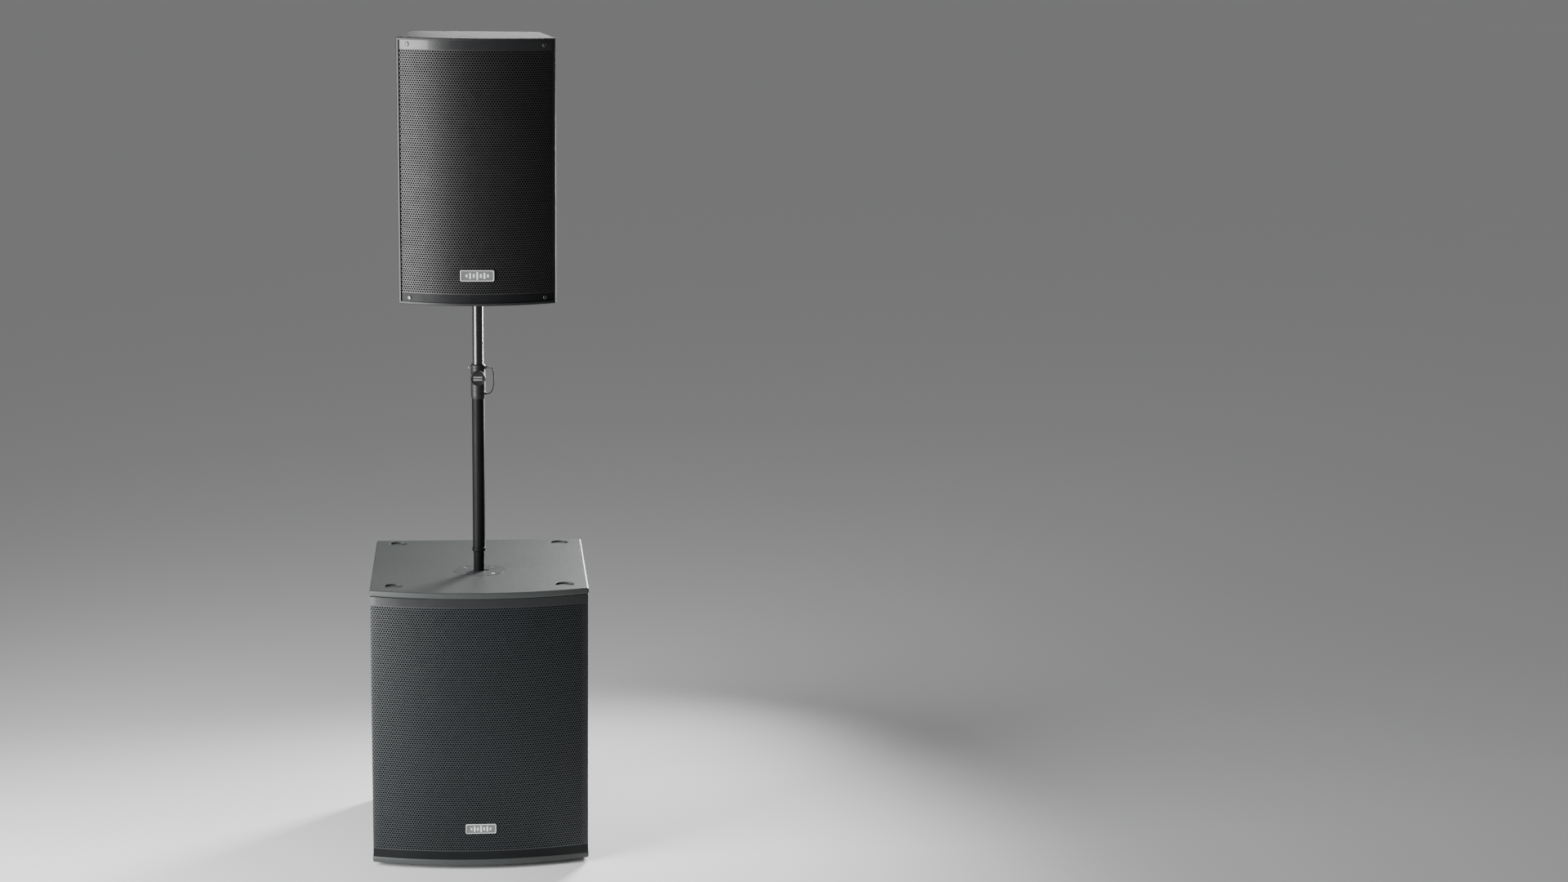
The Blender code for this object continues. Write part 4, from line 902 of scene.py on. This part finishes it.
def collar():
    low, top, step = COLLAR_LOW, COLLAR_TOP, COLLAR_STEP
    wide, narrow, full = LOWER_RADIUS + 0.0004, UPPER_RADIUS + 0.0004, 0.02
    profile = [(wide, low), (LOWER_RADIUS + 0.0012, low), (full, low + 0.008), (full, low + 0.02),
               (full - 0.0006, low + 0.0215), (full, low + 0.023), (full, top - 0.012),
               (full + 0.0004, top - 0.0105), (full + 0.0004, top - 0.004), (full - 0.002, top),
               (narrow, top), (narrow, step), (wide, step)]
    item = linked("collar_moulded", turned(closed(profile, 0.0008), 72, pole_at(0)))
    boss = [(0, 0.0165), (0.0135, 0.0165), (0.0118, 0.0215), (0.0115, KNOB_BACK - 0.004),
            (0.011, KNOB_BACK - 0.0035), (0, KNOB_BACK - 0.0035)]
    lug = mm((0, 18), (4.2, 18), (3.4, 21.2), (3.2, 22.8), (2.6, 23.5), (0, 23.5))
    at_knob = facing_front(0, POLE_Y, KNOB_Z)
    cut(item, turned(boss, 40, at_knob), "UNION")
    cut(item, turned(lug, 24, facing_right(0, POLE_Y, LUG_Z)), "UNION")
    cut(item, rod(0.0054, 0.012, KNOB_BACK + 0.01, 32, at_knob))
    cut(item, rod(PIN_HOLE_RADIUS, -0.04, 0.04, 28, facing_right(0, POLE_Y, PIN_Z)))
    evened(item)
    shown(item, "base", "grip_plastic", ["clamp_collar"])


def knob():
    """Eight-lobed hand wheel with a dished face and two raised bars."""
    place = facing_front(0, POLE_Y, KNOB_Z)
    lobes = 8

    def loop(scale, depth, height):
        return wavy_ring(place, 128, height, lambda angle: (
            KNOB_RADIUS * (1.0 - 0.035 * depth * (0.5 - 0.5 * cos(lobes * angle)) ** 2)) * scale)

    back, front = KNOB_BACK, KNOB_BACK + KNOB_LENGTH
    rows = [(0.42, 0, back + 0.0022), (0.86, 0.4, back + 0.0016), (0.9, 0.6, back + 0.0002), (0.93, 0.8, back),
            (0.975, 1.0, back + 0.0006), (1.0, 1.3, back + 0.0022), (1.0, 1.3, front - 0.003),
            (0.985, 1.1, front - 0.0014), (0.95, 0.8, front - 0.0004), (0.91, 0.4, front),
            (0.86, 0.1, front - 0.0001), (0.82, 0, front - 0.0008), (0.4, 0, front - 0.001)]
    add("knob_wheel", lofted([loop(*row) for row in rows]), "clamp_knob", "grip_plastic",
        ["clamp_knob"])
    bars = []
    for height in (-0.0036, 0.0036):
        bars.append(lofted([
            [place @ Vector((x, y + height, front + lift))
             for x, y in rounded_rectangle(0.0125 - inset, 0.0024 - inset, 0.0012, 5)]
            for inset, lift in ((0, -0.002), (0, 0.0007), (0.0003, 0.0011), (0.0008, 0.0012))]))
    add("knob_bars", merged(*bars), "clamp_knob", "knob_bar")
    screw = [(0, 0.0201), (0.004, 0.0201), (0.0046, 0.021)]
    for k in range(9):
        z = 0.0215 + k * 0.0011
        screw += [(0.0046, z), (0.0041, z + 0.00055)]
    screw += [(0.0046, back), (0, back)]
    neck = [(0, back - 0.0028), (0.0085, back - 0.0028), (0.009, back - 0.0022), (0.009, back + 0.004),
            (0, back + 0.004)]
    add("knob_screw", merged(turned(screw, 28, place), turned(neck, 40, place)), "clamp_knob", "zinc_steel")


def upper_pole():
    inner = UPPER_RADIUS - TUBE_WALL
    low, high = UPPER_TUBE_LOW, TOP_LOW + 0.0997
    profile = closed([(UPPER_RADIUS, low), (UPPER_RADIUS, high), (inner, high), (inner, low)], 0.0006)
    item = linked("upper_tube_painted", turned(profile, 64, pole_at(0)))
    holes = [facing_right(0, POLE_Y, PIN_Z + step * PIN_HOLE_STEP) for step in range(-4, 3)]
    cut(item, merged(*[rod(PIN_HOLE_RADIUS, -0.03, 0.03, 28, hole) for hole in holes]))
    evened(item)
    shown(item, "upper_pole", "tube_gloss", ["upper_tube"])


def safety_pin():
    profile = mm((0, -27), (2, -27), (3.1, -25.6), (3.2, -24), (2.8, -22.6), (3.2, -21.2), (3.2, 21.3),
                 (4.6, 21.7), (4.8, 22.6), (4.8, 26.2), (4.1, 26.9), (4.8, 27.6), (4.6, 28.6), (3.5, 32),
                 (2.8, 33), (0, 33))
    lathe_piece("pin_turned", profile, 36, facing_right(0, POLE_Y, PIN_Z), "safety_pin", "zinc_steel",
                "safety_pin", 0.0004)


pole_base()
collar()
knob()
upper_pole()
safety_pin()
carried("clamp_pad", "brass_pad", 0.0004)


# ---- Top speaker's cabinet ----
def top_half_width(y):
    taper = (TOP_HALF_WIDTH - TOP_BACK_HALF_WIDTH) / (TOP_BACK_Y - TOP_TAPER_Y)
    return TOP_HALF_WIDTH - taper * max(0, y - TOP_TAPER_Y)


def top_plan(inset, front, steps=14):
    """Plan outline of the cabinet; `front` holds its front points from left to right."""
    side = top_half_width(TOP_BACK_Y - TOP_BACK_RADIUS) - inset
    radius = TOP_BACK_RADIUS - inset
    corner = arc((side - radius, TOP_BACK_Y - TOP_BACK_RADIUS), radius, 0, 90.0, steps)
    right = [(top_half_width(TOP_TAPER_Y) - inset, TOP_TAPER_Y)] + corner
    return front + right + [(-x, y) for x, y in reversed(right)]


def handle_block(side, margin, outward, inner_x):
    near, far = TOP_HANDLE_Y[0] + margin, TOP_HANDLE_Y[1] - margin
    outline = [(side * inner_x, near), (side * (top_half_width(near) + outward), near),
               (side * (top_half_width(far) + outward), far), (side * inner_x, far)]
    return prism(outline, TOP_HANDLE_Z[0] + margin, TOP_HANDLE_Z[1] - margin)


def top_cabinet():
    shell = linked("top_cabinet_moulded",
                   prism(top_plan(0, bulge_arc(TOP_HALF_WIDTH, TOP_CHORD_Y, TOP_BULGE, 64)), TOP_LOW, TOP_HIGH))
    rounded(shell, 0.003, 4)
    keep_mesh(shell)
    inner = TOP_HALF_WIDTH - TOP_WALL
    cut(shell, prism(top_plan(TOP_WALL, [(-inner, TOP_CHORD_Y - 0.12), (inner, TOP_CHORD_Y - 0.12)]),
                     TOP_LOW + TOP_LIP, TOP_HIGH - TOP_LIP))
    amp_z, amp_x, amp_half = TOP_AMP
    window = box((-amp_x + 0.01, amp_x - 0.01), (TOP_BACK_Y - 0.05, TOP_BACK_Y + 0.02),
                 (amp_z - amp_half + 0.01, amp_z + amp_half - 0.01))
    cut(shell, merged(window, rod(0.0232, TOP_LOW - 0.01, TOP_LOW + 0.02, 48, pole_at(0))))
    cut(shell, merged(*[handle_block(side, 0, -0.003, 0.152) for side in (-1, 1)]), "UNION")
    cut(shell, merged(*[handle_block(side, POCKET_WALL, 0.02, 0.158) for side in (-1, 1)]))
    rounded(shell, 0.001)
    evened(shell)
    shown(shell, "top_speaker", "moulded_plastic", ["top_cabinet_shell"])


def grille_screws():
    radius = bulge_radius(TOP_GRILLE_HALF, TOP_BULGE - GRILLE_INSET)
    centre_y = TOP_GRILLE_CHORD_Y - TOP_BULGE + GRILLE_INSET + radius
    profile = eased([(0, -0.016), (0.0022, -0.016), (0.0022, GAP), (0.006, GAP), (0.006, 0.0012),
                     (0.0045, 0.0026), (0.0027, 0.0026), (0.0025, 0.0012), (0, 0.0012)], 0.0004)
    corners = [(side * (TOP_HALF_WIDTH - 0.03), z)
               for z in (TOP_LOW + 0.018, TOP_HIGH - 0.018) for side in (-1, 1)]
    for index, (x, z) in enumerate(corners, 1):
        lean = asin(x / radius)
        place = (moved(x, centre_y - radius * cos(lean), z) @ Matrix.Rotation(lean, 4, "Z") @ spun(90.0, "X"))
        add("grille_screw_head_%d" % index, turned(profile, 28, place), "top_speaker", "black_screw",
            ["grille_screw_%d" % index])


top_cabinet()
grille_screws()


# ---- Rear panels ----
def rear_knob(name, x, y_outer, z):
    """Knurled knob with a pale pointer line, on the body of the same name."""
    place = facing_back(x, y_outer, z)
    ridges = 24

    def loop(radius, depth, height):
        return wavy_ring(place, 96, height,
                         lambda angle: radius - 0.00035 * depth * (0.5 - 0.5 * cos(ridges * angle)))

    rows = [(0.003, 0, -0.008), (0.003, 0, 0.0006), (0.0075, 0, 0.0006), (0.0085, 0, 0.0009),
            (0.0085, 0, 0.0016), (0.0082, 1, 0.002), (0.0079, 1, 0.0054), (0.0075, 0.4, 0.0062),
            (0.0069, 0, 0.0065), (0.003, 0, 0.0062)]
    add(name + "_turned", lofted([loop(*row) for row in rows]), name, "control_plastic",
        [name])
    pointer = box((x - 0.0005, x + 0.0005), (y_outer + 0.0055, y_outer + 0.0069), (z + 0.0016, z + 0.007))
    add(name + "_pointer", pointer, name, "print_pale")


def print_marks(name, body, y_face, shapes):
    """Raised printing on a panel: each shape is (x, z, half width, half height, turn)."""
    marks = [prism(rounded_rectangle(half_x, half_z, min(half_x, half_z) * 0.6, 2), -0.0002, 0.00012,
                   facing_back(x, y_face, z) @ Matrix.Rotation(turn, 4, "Z"))
             for x, z, half_x, half_z, turn in shapes]
    add(name, merged(*marks), body, "print_pale")


def dial_marks(x, z, radius=0.0122):
    marks = []
    for step in range(11):
        angle = radians(-150.0 + 30.0 * step)
        half_length = 0.0015 if step % 5 == 0 else 0.0009
        marks.append((x - radius * sin(angle), z + radius * cos(angle), 0.00035, half_length, -angle))
    return marks


def frame_lines(x, z, half_x, half_z, line=0.0003):
    return [(x, z + half_z, half_x, line, 0), (x, z - half_z, half_x, line, 0),
            (x + half_x, z, line, half_z, 0), (x - half_x, z, line, half_z, 0)]


def rear_panel(prefix, body, amp, y_face):
    centre_z, half_width, half_height = amp
    low, high = centre_z - half_height, centre_z + half_height
    y_outer = y_face + GAP + PANEL_THICKNESS
    controls_z, sockets_z, power_z = high - 0.045, high - 0.1, low + 0.035

    def at(x, z, out=0):
        return facing_back(x, y_outer + out, z)

    for part, material, edge in (
            ("amp_panel", "panel_paint", 0.0005), ("signal_sockets", "socket_plastic", 0.0002),
            ("mains_inlet", "socket_plastic", 0.0003), ("power_rocker", "control_plastic", 0.0004),
            ("mode_switch", "control_plastic", 0.0002)):
        carried("%s_%s" % (prefix, part), material, edge)
    rear_knob(prefix + "_level_knob", LEVEL_X, y_outer, controls_z)
    rear_knob(prefix + "_tone_knob", TONE_X, y_outer, controls_z)

    marks = dial_marks(LEVEL_X, controls_z) + dial_marks(TONE_X, controls_z)
    for place in ((-0.0525, controls_z + 0.001, 0.0375, 0.019), (SWITCH_X, controls_z + 0.001, 0.016, 0.019),
                  (0, sockets_z, 0.04, 0.0245), (-0.007, power_z, 0.064, 0.0195)):
        marks += frame_lines(*place)
    for side in (-1, 1):
        marks += [(SWITCH_X + 0.0095, controls_z + side * 0.0045, 0.0014, 0.0004, 0),
                  (side * SOCKET_X, sockets_z + 0.0215, 0.005, 0.0004, 0)]
    print_marks(prefix + "_panel_print", body, y_outer, marks)

    rim = 0.008
    spots = [at(side * (half_width - rim), z, 0.0001) for side in (-1, 1)
             for z in (low + rim, centre_z, high - rim)]
    spots += [at(side * half_width / 3.0, z, 0.0001) for side in (-1, 1) for z in (low + rim, high - rim)]
    small = [(x, sockets_z + z) for x in (-0.031, 0.031) for z in (0.0155, -0.0155)]
    small += [(INLET_X + x, power_z) for x in (-0.0193, 0.0193)]
    spots += [at(x, z, 0.0024) @ Matrix.Scale(0.62, 4) for x, z in small]
    screw_heads(prefix + "_panel_screws", spots, 0.0034, 0.0016, body, "zinc_steel")

    sleeve = mm((0.9, -9.5), (1.35, -9.5), (1.35, 0.1), (0.9, 0.1))
    pin = eased(mm((0, -14.8), (1.25, -14.8), (1.25, -1.8), (0, -1)), 0.0005)
    contacts = []
    for angle in (90.0, 210.0, 330.0):
        dx, dz = cos(radians(angle)), sin(radians(angle))
        contacts.append(turned(sleeve, 16, at(0.005 * dx - SOCKET_X, sockets_z + 0.005 * dz)))
        contacts.append(turned(pin, 16, at(SOCKET_X + 0.0065 * dx, sockets_z + 0.0065 * dz)))
    for dx in (-0.007, 0, 0.007):
        contacts.append(prism(rounded_rectangle(0.0012, 0.0022, 0.0004, 3), -0.0178, -0.0037,
                              at(INLET_X + dx, power_z + 0.0035)))
    add(prefix + "_contacts", merged(*contacts), body, "contact_metal")
    ring = closed(mm((11.7, 2.2), (13.3, 2.2), (13.1, 3.2), (12.1, 3.2)), 0.0003)
    rings = [turned(ring, 48, at(side * SOCKET_X, sockets_z)) for side in (-1, 1)]
    tab = prism(rounded_rectangle(0.004, 0.0016, 0.0008, 4), 0.0022, 0.0036, at(-SOCKET_X, sockets_z + 0.015))
    add(prefix + "_socket_rings", merged(*rings, tab), body, "plain_steel")

    lens = eased(mm((0, -1), (1.8, -1), (1.8, 0.6), (1.2, 1.4), (0, 1.6)), 0.0004)
    for name, x, finish in (("power_light", 0.068, "lens_green"), ("limit_light", 0.078, "lens_red")):
        add("%s_%s" % (prefix, name), turned(lens, 24, at(x, controls_z)), body, finish)
    bezel = linked(prefix + "_rocker_bezel",
                   prism(rounded_rectangle(0.0098, 0.0148, 0.0012, 4), 0, 0.0012, at(ROCKER_X, power_z)))
    cut(bezel, box((ROCKER_X - 0.0077, ROCKER_X + 0.0077), (y_outer - 0.01, y_outer + 0.01),
                   (power_z - 0.0127, power_z + 0.0127)))
    rounded(bezel, 0.0003)
    keep_mesh(bezel)
    shown(bezel, body, "control_plastic")


rear_panel("sub", "base", SUB_AMP, SUB_BACK_FACE)
rear_panel("top", "top_speaker", TOP_AMP, TOP_BACK_Y)


# ---- Everything inside, and the rest of the CAD's nodes ----
# Nodes that no piece stands for and that have no finish yet take their record slot's finish.
for entry in frame["record"]["subparts"]:
    if entry["node"] not in DONE:
        carried(entry["node"], entry["material_slot"])


# ---- Floor and lights ----
FLOOR_REACH = 160.0
SURROUNDINGS = (0.23, 0.23, 0.23 * 1.01)


def floor():
    n = Nodes("studio_floor")
    broad = n.noise(0.05, 1.0)
    n.link(n.colours(broad, (0.76, 0.762, 0.765), (0.78, 0.782, 0.785)), n.shader.inputs["Base Color"])
    n.set(Roughness=0.75, Specular_IOR_Level=0.3)
    shape = bmesh.new()
    shape.faces.new([shape.verts.new((x * FLOOR_REACH, y * FLOOR_REACH, 0))
                     for x, y in ((-1, -1), (1, -1), (1, 1), (-1, 1))])
    item = linked("studio_floor", shape)
    item.data.materials.append(n.material)


def softbox(name, place, aim, size, power, spread):
    data = bpy.data.lights.new(name, "AREA")
    data.shape = "RECTANGLE"
    data.size, data.size_y = size
    data.energy = power
    data.spread = radians(spread)
    light = in_scene(bpy.data.objects.new(name, data))
    turn = (Vector(aim) - Vector(place)).to_track_quat("-Z", "Y")
    light.matrix_world = moved(*place) @ turn.to_matrix().to_4x4()
    light.visible_camera = False


LIGHTS = (        # name, place, point aimed at, size, watts, spread in degrees
    ("key_left", (-2.25, -1.45, 1.5), (0, -0.1, 1.3), (2.0, 2.8), 200.0, 150.0),
    ("back_right", (1.15, 1.7, 1.5), (0.15, 0, 0.75), (0.6, 1.1), 42.0, 85.0),
    ("back_high", (0.75, 2.6, 2.8), (0.05, 0, 2.3), (2.0, 0.6), 4.0, 75.0))

floor()
world = bpy.data.worlds.new("studio")
bpy.context.scene.world = world
world.use_nodes = True
world.node_tree.nodes["Background"].inputs["Color"].default_value = (*SURROUNDINGS, 1.0)
for light_values in LIGHTS:
    softbox(*light_values)
